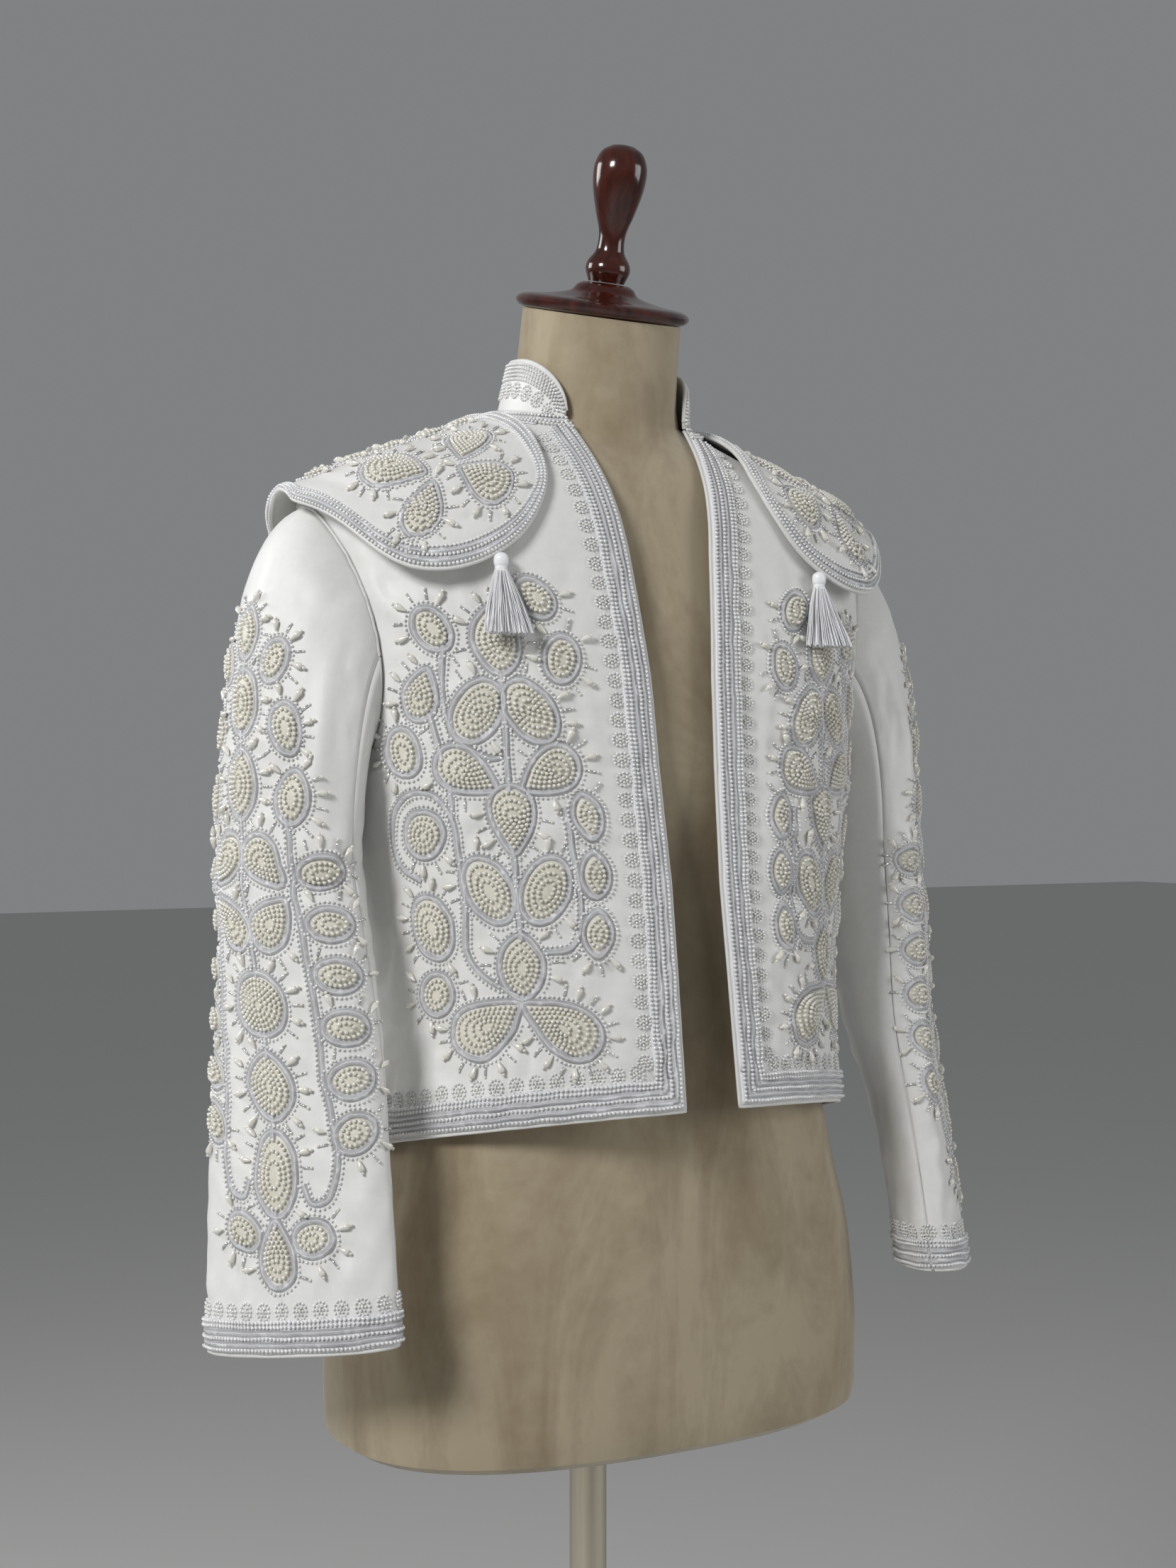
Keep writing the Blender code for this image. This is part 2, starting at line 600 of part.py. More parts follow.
def build_collar(shop):
    """The stand collar, one piece round the neck with rounded front ends."""
    stack = Profile((COLLAR_BASE, COLLAR_TOP))
    first = edge_turn(COLLAR_BASE)
    lines = []
    for place in np.linspace(0.0, 1.0, 12):
        line = cut_line(stack.at(place), first, 360.0 - first, 240)
        lines.append(resample(line, np.linspace(0.0, polyline_length(line), 200)))
    lines = np.array(lines)
    length = polyline_length(lines[0])
    rounding = COLLAR_ROUNDING
    half = 0.5 * length
    steps = np.linspace(0.0, 1.0, COLLAR_COLUMNS // 2 + 1) ** 1.5
    distances = np.concatenate((half * steps, (length - half * steps[::-1])[1:]))
    rows = np.zeros((COLLAR_ROWS + 1, len(distances), 3))
    for column, distance in enumerate(distances):
        from_end = min(distance, length - distance)
        share = math.sqrt(max(0.0, 1.0 - (1.0 - min(from_end / rounding, 1.0)) ** 2))
        share = max(share, 0.12)
        where = distance / length * (lines.shape[1] - 1)
        upright = [[np.interp(where, range(lines.shape[1]), line[:, k]) for k in range(3)] for line in lines]
        upright = np.array(upright)
        span = polyline_length(upright)
        rows[:, column] = resample(upright, np.linspace(0.0, span * share, COLLAR_ROWS + 1))
    shop.wall("collar", Sheet(rows), COLLAR_WALL, shop.satin)


def shoulder_height(x):
    """The height of the jacket's outer side on the shoulder's ridge, and of its slope beyond it."""
    low, high = SHOULDER_ROW, float(NECK_ROW)
    target = min(max(x, COLLAR_BASE.half_width), SHOULDER_END)
    for _ in range(40):
        middle = 0.5 * (low + high)
        if BODY.at(middle).half_width > target:
            low = middle
        else:
            high = middle
    cut = BODY.at(low)
    return cut.z + 1.1 * CLOTH - SHOULDER_SLOPE * max(0.0, x - SHOULDER_END)


class Skin:
    """The jacket's outer side over the left shoulder, as points with their outward directions."""

    def __init__(self, lowest_row):
        grid = [[on_cut(BODY.at(place), turn) for turn in np.linspace(0.0, 180.0, 120)]
                for place in np.linspace(lowest_row, NECK_ROW, 60)]
        sheet = Sheet(grid).moved(CLOTH)
        self.points = sheet.points.reshape(-1, 3)
        self.outward = sheet.normals.reshape(-1, 3)

    def lifted(self, point, gap):
        """The point, moved out of the cloth where it lies less than the gap outside it."""
        nearest = np.argmin(((self.points - point) ** 2).sum(axis=1))
        height = float((point - self.points[nearest]) @ self.outward[nearest])
        return point + self.outward[nearest] * max(0.0, gap - height)


def wing_sheet():
    """The left wing: from its front edge over the ridge to its back edge."""
    skin = Skin(4.0)
    rows = []
    for section in WING:
        ridge = np.array((section.ridge_x, WING_CENTRE_Y,
                          shoulder_height(section.ridge_x) + WING_CLEARANCE))
        half = []
        for f in np.linspace(0.0, 1.0, WING_COLUMNS // 2 + 1):
            edge = np.array((section.edge_x, section.edge_y, section.edge_z))
            corner = np.array((0.5 * (section.edge_x + section.ridge_x),
                               WING_FULLNESS * section.edge_y, ridge[2] - 0.002))
            half.append((1 - f) ** 2 * edge + 2 * f * (1 - f) * corner + f**2 * ridge)
        half = np.array(half)
        back = half[-2::-1].copy()
        back[:, 1] = 2.0 * WING_CENTRE_Y - back[:, 1]
        section_points = np.concatenate((half, back))
        drapes = np.full(len(section_points), WING_DRAPE)
        drapes[WING_COLUMNS // 2] = WING_CLEARANCE
        rows.append([skin.lifted(point, gap) for point, gap in zip(section_points, drapes)])
    return Sheet(np.array(rows)[::-1])


def build_wings(shop):
    """The stiff shoulder wings and the braid that runs round their border."""
    wing = wing_sheet()
    last_row, last_column = wing.rows - 2, wing.columns - 2

    def border(row, column):
        return row in (0, last_row) or column in (0, last_column)

    for side, turn_round in (("left", lambda grid: grid), ("right", mirrored)):
        sheet = Sheet(turn_round(wing.points))
        shop.wall(f"shoulder_wing_{side}", sheet, WING_WALL, shop.satin)
        shop.wall(f"wing_band_{side}", sheet.moved(WING_WALL + 2.0 * SEAM, border), BRAID, shop.braid)


def build_tassel(shop, name, side):
    """A head, and strands that are drawn out of its underside."""
    shape = bmesh.new()
    rings = [[shape.verts.new((0.0, 0.0, -TASSEL_HEAD_HEIGHT))]]
    ring_count = TASSEL_RING_COUNT
    sides = TASSEL_SIDES
    for ring in range(1, ring_count + 1):
        radius = TASSEL_HEAD_RADIUS * ring / ring_count
        rings.append([shape.verts.new((radius * math.cos(2 * math.pi * k / sides),
                                       radius * math.sin(2 * math.pi * k / sides),
                                       -TASSEL_HEAD_HEIGHT)) for k in range(sides)])
    outline = rings[-1]
    roots = []
    for ring in range(1, ring_count + 1):
        for k in range(sides):
            after = (k + 1) % sides
            if ring == 1:
                if k % 3 == 0:
                    corners = [rings[1][k], rings[0][0], rings[1][(k + 3) % sides]]
                    middle = [rings[1][(k + 2) % sides], rings[1][(k + 1) % sides]]
                    shape.faces.new(corners + middle)
                continue
            face = shape.faces.new((rings[ring][k], rings[ring - 1][k],
                                    rings[ring - 1][after], rings[ring][after]))
            if ring >= 3 or k % 2 == 0:
                roots.append(face)
    below = outline
    for height, radius in ((0.45, 0.92), (0.75, 1.10), (1.0, 0.55)):
        z = -TASSEL_HEAD_HEIGHT * (1.0 - height)
        above = [shape.verts.new((TASSEL_HEAD_RADIUS * radius * math.cos(2 * math.pi * k / sides),
                                  TASSEL_HEAD_RADIUS * radius * math.sin(2 * math.pi * k / sides), z))
                 for k in range(sides)]
        for k in range(sides):
            after = (k + 1) % sides
            shape.faces.new((below[k], below[after], above[after], above[k]))
        below = above
    shape.faces.new(below)
    bmesh.ops.recalc_face_normals(shape, faces=shape.faces)
    bmesh.ops.inset_individual(shape, faces=roots, thickness=0.00012)
    drawn = bmesh.ops.extrude_discrete_faces(shape, faces=roots)["faces"]
    for face in drawn:
        centre = face.calc_center_median()
        reach_x = centre.x / TASSEL_HEAD_RADIUS
        reach_y = centre.y / TASSEL_HEAD_RADIUS
        for vert in face.verts:
            vert.co.x = reach_x * TASSEL_HALF_WIDTH + 1.5 * (vert.co.x - centre.x)
            vert.co.y = reach_y * TASSEL_HALF_DEPTH + 1.5 * (vert.co.y - centre.y) + TASSEL_FORWARD
            vert.co.z = -TASSEL_HEAD_HEIGHT - TASSEL_SKIRT * (1.0 - 0.06 * (reach_x**2 + reach_y**2))
    for vert in shape.verts:
        vert.co.x += side * TASSEL_PLACE[0]
        vert.co.y += TASSEL_PLACE[1]
        vert.co.z += TASSEL_PLACE[2]
    mesh = bpy.data.meshes.new(name)
    shape.to_mesh(mesh)
    shape.free()
    shop.place(name, mesh, shop.silk)


def build_form(shop):
    """The dress form, its wooden cap and handle, the pole and the base."""
    turns = np.linspace(0.0, 360.0, FORM_COLUMNS, endpoint=False)
    rings = [[on_cut(TORSO.at(place), turn) for turn in turns] for place in places(FORM_STEPS)]
    points = [tuple(point) for ring in rings for point in ring]
    wide = FORM_COLUMNS
    faces = [(r * wide + c, r * wide + (c + 1) % wide, (r + 1) * wide + (c + 1) % wide, (r + 1) * wide + c)
             for r in range(len(rings) - 1) for c in range(wide)]
    faces.append(tuple(reversed(range(wide))))
    faces.append(tuple(range((len(rings) - 1) * wide, len(rings) * wide)))
    mesh = bpy.data.meshes.new("dress_form")
    mesh.from_pydata(points, [], faces)
    mesh.update()
    shop.place("dress_form", mesh, shop.suede)

    top = FORM[-1]
    tilt = math.radians(NECK_TILT)
    lean = np.array((0.0, -math.sin(tilt), math.cos(tilt)))
    seat = np.array((0.0, top.side_y, top.z))
    cap_height = CAP_PROFILE[0][1]
    cap_place = seat + lean * SEAM
    finial_place = seat + lean * (cap_height + 2.0 * SEAM)
    shop.turned("neck_cap", CAP_PROFILE, shop.wood, cap_place, NECK_TILT, CAP_SIDES)
    shop.turned("finial", FINIAL_PROFILE, shop.wood, finial_place, NECK_TILT, FINIAL_SIDES)
    shop.turned("stand_base", BASE_PROFILE, shop.iron, (0.0, 0.0, 0.0), 0.0, BASE_SIDES)

    base_top = BASE_PROFILE[0][1] + SEAM
    pole_top = FORM[0].z - SEAM
    bpy.ops.mesh.primitive_cylinder_add(vertices=POLE_SIDES, radius=POLE_RADIUS, depth=pole_top - base_top,
                                        location=(0.0, 0.0, 0.5 * (pole_top + base_top)))
    pole = bpy.context.object
    pole.name = "stand_pole"
    pole.data.materials.append(shop.steel)
    for owner in list(pole.users_collection):
        owner.objects.unlink(pole)
    shop.collection.objects.link(pole)
    pole.data.shade_smooth()
    pole.data.set_sharp_from_angle(angle=math.radians(40.0))


def main():
    shop = Workshop(clear_scene())
    build_form(shop)
    build_body(shop)
    build_sleeves(shop)
    build_collar(shop)
    build_wings(shop)
    build_tassel(shop, "tassel_left", 1.0)
    build_tassel(shop, "tassel_right", -1.0)


main()
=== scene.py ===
"""Matador jacket on a limbless dress form: fine cloth, braid, beadwork, tassels, form and stand.

Metres, +Z up, the front faces -Y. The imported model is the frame, and every piece here lies on the
surface that its solid has. The left half is worked out and the right half is its mirror image.
"""

from __future__ import annotations

import logging
import math
from dataclasses import dataclass, field
from enum import Enum
from typing import Callable, NamedTuple, Sequence

import bmesh
import bpy
import numpy as np
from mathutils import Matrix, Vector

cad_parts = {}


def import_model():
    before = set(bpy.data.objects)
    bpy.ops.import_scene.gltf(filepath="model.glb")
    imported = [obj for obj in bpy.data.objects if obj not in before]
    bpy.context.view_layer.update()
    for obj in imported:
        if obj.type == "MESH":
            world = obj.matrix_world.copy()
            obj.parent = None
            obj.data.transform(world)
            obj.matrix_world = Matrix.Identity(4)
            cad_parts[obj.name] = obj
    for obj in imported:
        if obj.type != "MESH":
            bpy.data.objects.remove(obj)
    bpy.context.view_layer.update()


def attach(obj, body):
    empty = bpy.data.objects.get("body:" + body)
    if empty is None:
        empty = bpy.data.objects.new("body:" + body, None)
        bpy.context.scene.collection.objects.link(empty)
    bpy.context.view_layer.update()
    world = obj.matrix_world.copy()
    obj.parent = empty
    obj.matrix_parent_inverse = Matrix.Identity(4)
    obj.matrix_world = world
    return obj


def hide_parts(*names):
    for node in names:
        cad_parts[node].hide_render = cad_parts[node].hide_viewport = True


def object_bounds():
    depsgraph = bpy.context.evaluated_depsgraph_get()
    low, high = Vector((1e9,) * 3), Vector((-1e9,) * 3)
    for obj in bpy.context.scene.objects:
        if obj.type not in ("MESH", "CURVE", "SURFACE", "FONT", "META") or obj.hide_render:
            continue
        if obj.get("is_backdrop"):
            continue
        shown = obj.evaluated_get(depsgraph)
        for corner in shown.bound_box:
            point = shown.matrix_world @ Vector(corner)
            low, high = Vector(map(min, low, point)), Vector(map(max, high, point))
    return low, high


LOG = logging.getLogger("jacket")
BODY = "root"
SIDES = ("left", "right")

SEAM = 0.0003
CLOTH = 0.0020
COLLAR_WALL = 0.0024
WING_WALL = 0.0030
FACING = 0.0010
BRAID = 0.0010
FOLD_DEPTH = 2.2
SIDE_FADE = 0.012
RIPPLE_PITCH, RIPPLE_HEIGHT = 0.0190, 0.043
PUCKER, RIPPLE = 0.00070, 0.0010


# Tables of the frame's form

class Cut(NamedTuple):
    """A level cut: height at the side, reaches, place of the widest point, squareness, tilts."""

    z: float
    half_width: float
    front: float
    back: float
    side_y: float
    power: float
    tilt: float
    back_tilt: float


JACKET = (
    Cut(0.958, 0.187, 0.172, 0.134, -0.010, 2.15, -0.20, 0.00),
    Cut(1.055, 0.180, 0.162, 0.108, -0.010, 2.20, -0.05, 0.00),
    Cut(1.145, 0.189, 0.150, 0.108, -0.010, 2.30, 0.00, 0.00),
    Cut(1.222, 0.200, 0.139, 0.117, -0.008, 2.40, 0.00, 0.00),
    Cut(1.290, 0.209, 0.131, 0.123, -0.004, 2.45, 0.00, 0.00),
    Cut(1.350, 0.2195, 0.121, 0.122, 0.000, 2.40, 0.00, 0.00),
    Cut(1.398, 0.2275, 0.111, 0.114, 0.003, 2.30, 0.00, 0.00),
    Cut(1.4195, 0.2260, 0.104, 0.107, 0.004, 2.25, 0.02, 0.02),
    Cut(1.4350, 0.2030, 0.098, 0.100, 0.004, 2.20, 0.05, 0.05),
    Cut(1.4500, 0.1660, 0.0905, 0.090, 0.003, 2.15, 0.08, 0.08),
    Cut(1.4645, 0.1260, 0.083, 0.078, 0.001, 2.10, 0.12, 0.12),
    Cut(1.4780, 0.0910, 0.0755, 0.066, -0.003, 2.05, 0.15, 0.15),
    Cut(1.4860, 0.0705, 0.0735, 0.0595, -0.007, 2.00, 0.17, 0.17),
)
OPENING_HEIGHTS = (0.958, 1.145, 1.290, 1.380, 1.445, 1.486)
OPENING_HALF_GAPS = (0.0225, 0.0210, 0.0265, 0.0350, 0.0440, 0.0500)
ARMHOLE_BOTTOM, ARMHOLE_TOP, ARMHOLE_SPREAD = 1.222, 1.408, 22.0
ARMHOLE_ROWS = (3.0, 7.0)

COLLAR_BASE = Cut(1.4881, 0.0707, 0.0735, 0.0595, -0.007, 2.0, 0.17, 0.17)
COLLAR_TOP = Cut(1.5265, 0.0640, 0.0780, 0.0500, -0.014, 2.0, 0.12, 0.12)
COLLAR_ROUNDING = 0.055
COLLAR_LOWEST = 0.12


class Tube(NamedTuple):
    """A cut through the left sleeve: centre, half sizes, turn in degrees, and rise to the front."""

    z: float
    centre_x: float
    centre_y: float
    half_long: float
    half_short: float
    turn: float
    rise: float


SLEEVE = (
    Tube(1.160, 0.2480, -0.015, 0.0590, 0.0390, 16.0, 0.00),
    Tube(1.100, 0.2495, -0.028, 0.0620, 0.0365, 22.0, 0.00),
    Tube(1.040, 0.2520, -0.0385, 0.0665, 0.0320, 28.0, 0.02),
    Tube(0.960, 0.2594, -0.058, 0.0690, 0.0255, 33.0, 0.06),
    Tube(0.898, 0.2630, -0.070, 0.0710, 0.0245, 34.0, 0.10),
    Tube(0.840, 0.2660, -0.081, 0.0715, 0.0245, 35.0, 0.12),
)
SLEEVE_STEP, UNDERARM_STEP = 0.0004, 0.0028
LEAVE_OUT, LEAVE_OUT_UNDER = 0.62, -0.36
LEAVE_DOWN, LEAVE_DOWN_UNDER = -0.25, -0.55
ARRIVE_DOWN = -1.05
TOP_SLEEVE_REACH = 98.0


class WingSection(NamedTuple):
    """A section across the left shoulder wing: its ridge, and its front edge."""

    ridge_x: float
    edge_x: float
    edge_y: float
    edge_z: float


WING = (
    WingSection(0.0830, 0.0890, -0.0950, 1.4290),
    WingSection(0.1000, 0.1010, -0.1065, 1.4060),
    WingSection(0.1220, 0.1180, -0.1100, 1.3840),
    WingSection(0.1450, 0.1400, -0.1100, 1.3700),
    WingSection(0.1700, 0.1650, -0.1070, 1.3600),
    WingSection(0.1930, 0.1880, -0.0980, 1.3590),
    WingSection(0.2130, 0.2080, -0.0830, 1.3700),
    WingSection(0.2290, 0.2240, -0.0620, 1.3910),
    WingSection(0.2410, 0.2370, -0.0380, 1.4060),
    WingSection(0.2470, 0.2450, -0.0150, 1.4120),
)
WING_CENTRE_Y, WING_CLEARANCE, WING_DRAPE, WING_FULLNESS = 0.004, 0.0006, 0.0034, 0.74
SHOULDER_END, SHOULDER_SLOPE, SHOULDER_ROW = 0.200, 0.40, 7.6

NECK_TILT = 15.0
NECK_RISE = math.tan(math.radians(NECK_TILT))
FORM = (
    Cut(0.742, 0.196, 0.128, 0.110, -0.014, 2.5, 0.0, 0.0),
    Cut(0.745, 0.203, 0.135, 0.117, -0.014, 2.5, 0.0, 0.0),
    Cut(0.753, 0.2075, 0.1395, 0.1215, -0.014, 2.5, 0.0, 0.0),
    Cut(0.800, 0.2080, 0.141, 0.124, -0.014, 2.5, 0.0, 0.0),
    Cut(0.870, 0.201, 0.142, 0.123, -0.014, 2.5, 0.0, 0.0),
    Cut(0.950, 0.183, 0.138, 0.114, -0.014, 2.4, 0.0, 0.0),
    Cut(1.055, 0.168, 0.129, 0.096, -0.012, 2.3, 0.0, 0.0),
    Cut(1.145, 0.178, 0.126, 0.098, -0.010, 2.3, 0.0, 0.0),
    Cut(1.222, 0.190, 0.127, 0.110, -0.006, 2.3, 0.0, 0.0),
    Cut(1.290, 0.197, 0.121, 0.116, -0.003, 2.3, 0.0, 0.0),
    Cut(1.350, 0.203, 0.112, 0.116, 0.001, 2.2, 0.0, 0.0),
    Cut(1.398, 0.205, 0.102, 0.108, 0.003, 2.2, 0.0, 0.0),
    Cut(1.4195, 0.202, 0.097, 0.102, 0.004, 2.2, 0.02, 0.02),
    Cut(1.4350, 0.191, 0.093, 0.096, 0.004, 2.2, 0.05, 0.05),
    Cut(1.4500, 0.1630, 0.087, 0.087, 0.003, 2.15, 0.08, 0.08),
    Cut(1.4645, 0.1220, 0.0795, 0.0755, 0.001, 2.10, 0.12, 0.12),
    Cut(1.4780, 0.0868, 0.0712, 0.0635, -0.003, 2.05, 0.15, 0.15),
    Cut(1.4860, 0.0668, 0.0692, 0.0575, -0.007, 2.00, 0.17, 0.17),
    Cut(1.5000, 0.0625, 0.0700, 0.0520, -0.009, 2.00, 0.19, 0.19),
    Cut(1.5300, 0.0600, 0.0740, 0.0460, -0.014, 2.00, 0.23, 0.23),
    Cut(1.5650, 0.0590, 0.0795, 0.0385, -0.0205, 2.00, NECK_RISE, NECK_RISE),
)

# Turned profiles as radius and height, from the top down
CAP_PROFILE = ((0.0, 0.0245), (0.0170, 0.0240), (0.0215, 0.0215), (0.0260, 0.0165), (0.0420, 0.0125),
               (0.0580, 0.0105), (0.0640, 0.0080), (0.0655, 0.0050), (0.0630, 0.0015), (0.0585, 0.0),
               (0.0, 0.0))
FINIAL_PROFILE = ((0.0, 0.1000), (0.0080, 0.0989), (0.0150, 0.0945), (0.0190, 0.0863), (0.0199, 0.0780),
                  (0.0185, 0.0660), (0.0145, 0.0505), (0.0107, 0.0386), (0.0098, 0.0303),
                  (0.0110, 0.0220), (0.0155, 0.0151), (0.0168, 0.0092), (0.0150, 0.0037),
                  (0.0135, 0.0), (0.0, 0.0))
BASE_PROFILE = ((0.0, 0.0560), (0.0175, 0.0560), (0.0210, 0.0520), (0.0220, 0.0300), (0.0320, 0.0240),
                (0.1000, 0.0200), (0.1850, 0.0150), (0.1970, 0.0110), (0.2000, 0.0060),
                (0.1980, 0.0), (0.0, 0.0))
POLE_RADIUS = 0.014

TASSEL_PLACE = (0.1335, -0.1125, 1.3726)
TASSEL_HEAD_RADIUS, TASSEL_HEAD_HEIGHT = 0.0050, 0.0120
TASSEL_SKIRT, TASSEL_HALF_WIDTH, TASSEL_HALF_DEPTH = 0.0460, 0.0205, 0.0080
TASSEL_FORWARD = -0.0130


# Curves and surfaces

class Profile:
    """A smooth stack of table rows, read at any place between them."""

    def __init__(self, rows: Sequence[tuple]) -> None:
        """Work out the slopes at the rows.

        Args:
            rows: The named tuples of one table, in order.
        """
        self.kind = type(rows[0])
        self.values = np.array(rows, dtype=float)
        steps = np.diff(self.values, axis=0)
        self.slopes = np.zeros_like(self.values)
        self.slopes[0], self.slopes[-1] = steps[0], steps[-1]
        product, total = steps[:-1] * steps[1:], steps[:-1] + steps[1:]
        keep = product > 0.0
        self.slopes[1:-1][keep] = 2.0 * product[keep] / total[keep]

    def at(self, place: float) -> tuple:
        """Read the table.

        Args:
            place: The place, counted in rows.

        Returns:
            A row of the table's own kind.
        """
        low = int(min(max(math.floor(place), 0), len(self.values) - 2))
        f = place - low
        mixed = ((2 * f**3 - 3 * f**2 + 1) * self.values[low] + (f**3 - 2 * f**2 + f) * self.slopes[low]
                 + (3 * f**2 - 2 * f**3) * self.values[low + 1] + (f**3 - f**2) * self.slopes[low + 1])
        return self.kind(*mixed)


def bisect(test: Callable[[float], bool], low: float, high: float) -> float:
    """Find where a test turns from true to false.

    Args:
        test: True below the wanted place.
        low: A place where the test is true.
        high: A place where it is false.

    Returns:
        The place.
    """
    for _ in range(40):
        middle = 0.5 * (low + high)
        if test(middle):
            low = middle
        else:
            high = middle
    return low


def round_cut(cut: Cut, turns: np.ndarray) -> np.ndarray:
    """Points of a level cut.

    Args:
        cut: The cut.
        turns: Degrees round it: 0 at the front, 90 at the wearer's left, 180 at the back.

    Returns:
        One point for each turn.
    """
    angle = np.radians(np.atleast_1d(turns))
    sine, cosine = np.sin(angle), np.cos(angle)
    across = np.copysign(np.abs(sine) ** (2.0 / cut.power), sine)
    along = np.abs(cosine) ** (2.0 / cut.power)
    in_front = cosine > 0.0
    offset = np.where(in_front, -(cut.front + cut.side_y) * along, (cut.back - cut.side_y) * along)
    tilt = np.where(in_front, cut.tilt, cut.back_tilt)
    return np.column_stack((cut.half_width * across, cut.side_y + offset, cut.z + tilt * offset))


def lengths_along(points: np.ndarray) -> np.ndarray:
    """The distance travelled at each point of a polyline."""
    steps = np.linalg.norm(np.diff(points, axis=0), axis=1)
    return np.concatenate(([0.0], np.cumsum(steps)))


def resample(points: np.ndarray, distances: np.ndarray) -> np.ndarray:
    """Points at the given distances along a polyline.

    Args:
        points: The polyline, of any number of coordinates.
        distances: Where to read it.

    Returns:
        The points there.
    """
    travelled = lengths_along(points)
    return np.column_stack([np.interp(distances, travelled, points[:, k]) for k in range(points.shape[1])])


def smooth_line(points: Sequence[Sequence[float]], step: float) -> np.ndarray:
    """A smooth curve through a few points.

    Args:
        points: The points that it passes.
        step: The distance between the points of the result.

    Returns:
        Points along the curve.
    """
    knots = np.array(points, dtype=float)
    ends = np.vstack((2 * knots[0] - knots[1], knots, 2 * knots[-1] - knots[-2]))
    f = np.linspace(0.0, 1.0, 24, endpoint=False)[:, None]
    spans = []
    for k in range(len(knots) - 1):
        a, b, c, d = ends[k:k + 4]
        spans.append(0.5 * (2 * b + (c - a) * f + (2 * a - 5 * b + 4 * c - d) * f**2
                            + (3 * b - a - 3 * c + d) * f**3))
    dense = np.vstack((*spans, knots[-1:]))
    total = lengths_along(dense)[-1]
    return resample(dense, np.linspace(0.0, total, max(3, int(total / step))))


def edge_turn(cut: Cut) -> float:
    """The turn at which a cut meets the front edge."""
    half_gap = float(np.interp(cut.z, OPENING_HEIGHTS, OPENING_HALF_GAPS))
    return math.degrees(math.asin((half_gap / cut.half_width) ** (cut.power / 2.0)))


def armhole_share(z: float) -> float:
    """How open the armhole is at a height, from 0 at its ends to 1 halfway up."""
    middle, half = 0.5 * (ARMHOLE_TOP + ARMHOLE_BOTTOM), 0.5 * (ARMHOLE_TOP - ARMHOLE_BOTTOM)
    return math.sqrt(max(0.0, 1.0 - ((z - middle) / half) ** 2))


def surface_normals(points: np.ndarray) -> np.ndarray:
    """Unit normals of a grid of points, on the side that faces out."""
    normals = np.cross(np.gradient(points, axis=1), np.gradient(points, axis=0))
    return normals / np.maximum(np.linalg.norm(normals, axis=2, keepdims=True), 1e-9)


class Chart(Enum):
    """How a place on a panel is given."""

    HEIGHT = "metres across the panel and the height above the floor"
    HEM = "metres across the panel and metres up from its lowest edge"
    NECK = "share of the way across and metres down from its highest edge"
    GRID = "share of the way across and share of the way up"


class Crease(NamedTuple):
    """A soft fold: where it starts, how it runs, its height and its width."""

    across: float
    height: float
    run_across: float
    run_height: float
    rise: float
    width: float


class Laid(NamedTuple):
    """Points on a piece of cloth with the directions that face out of it there."""

    points: np.ndarray
    outward: np.ndarray

    def mirrored(self) -> "Laid":
        """The same points on the other half of the jacket."""
        flip = np.array((-1.0, 1.0, 1.0))
        return Laid(self.points * flip, self.outward * flip)

    def raised(self, lift: np.ndarray | float) -> "Laid":
        """The points moved out by a lift."""
        return Laid(self.points + self.outward * np.reshape(lift, (-1, 1)), self.outward)


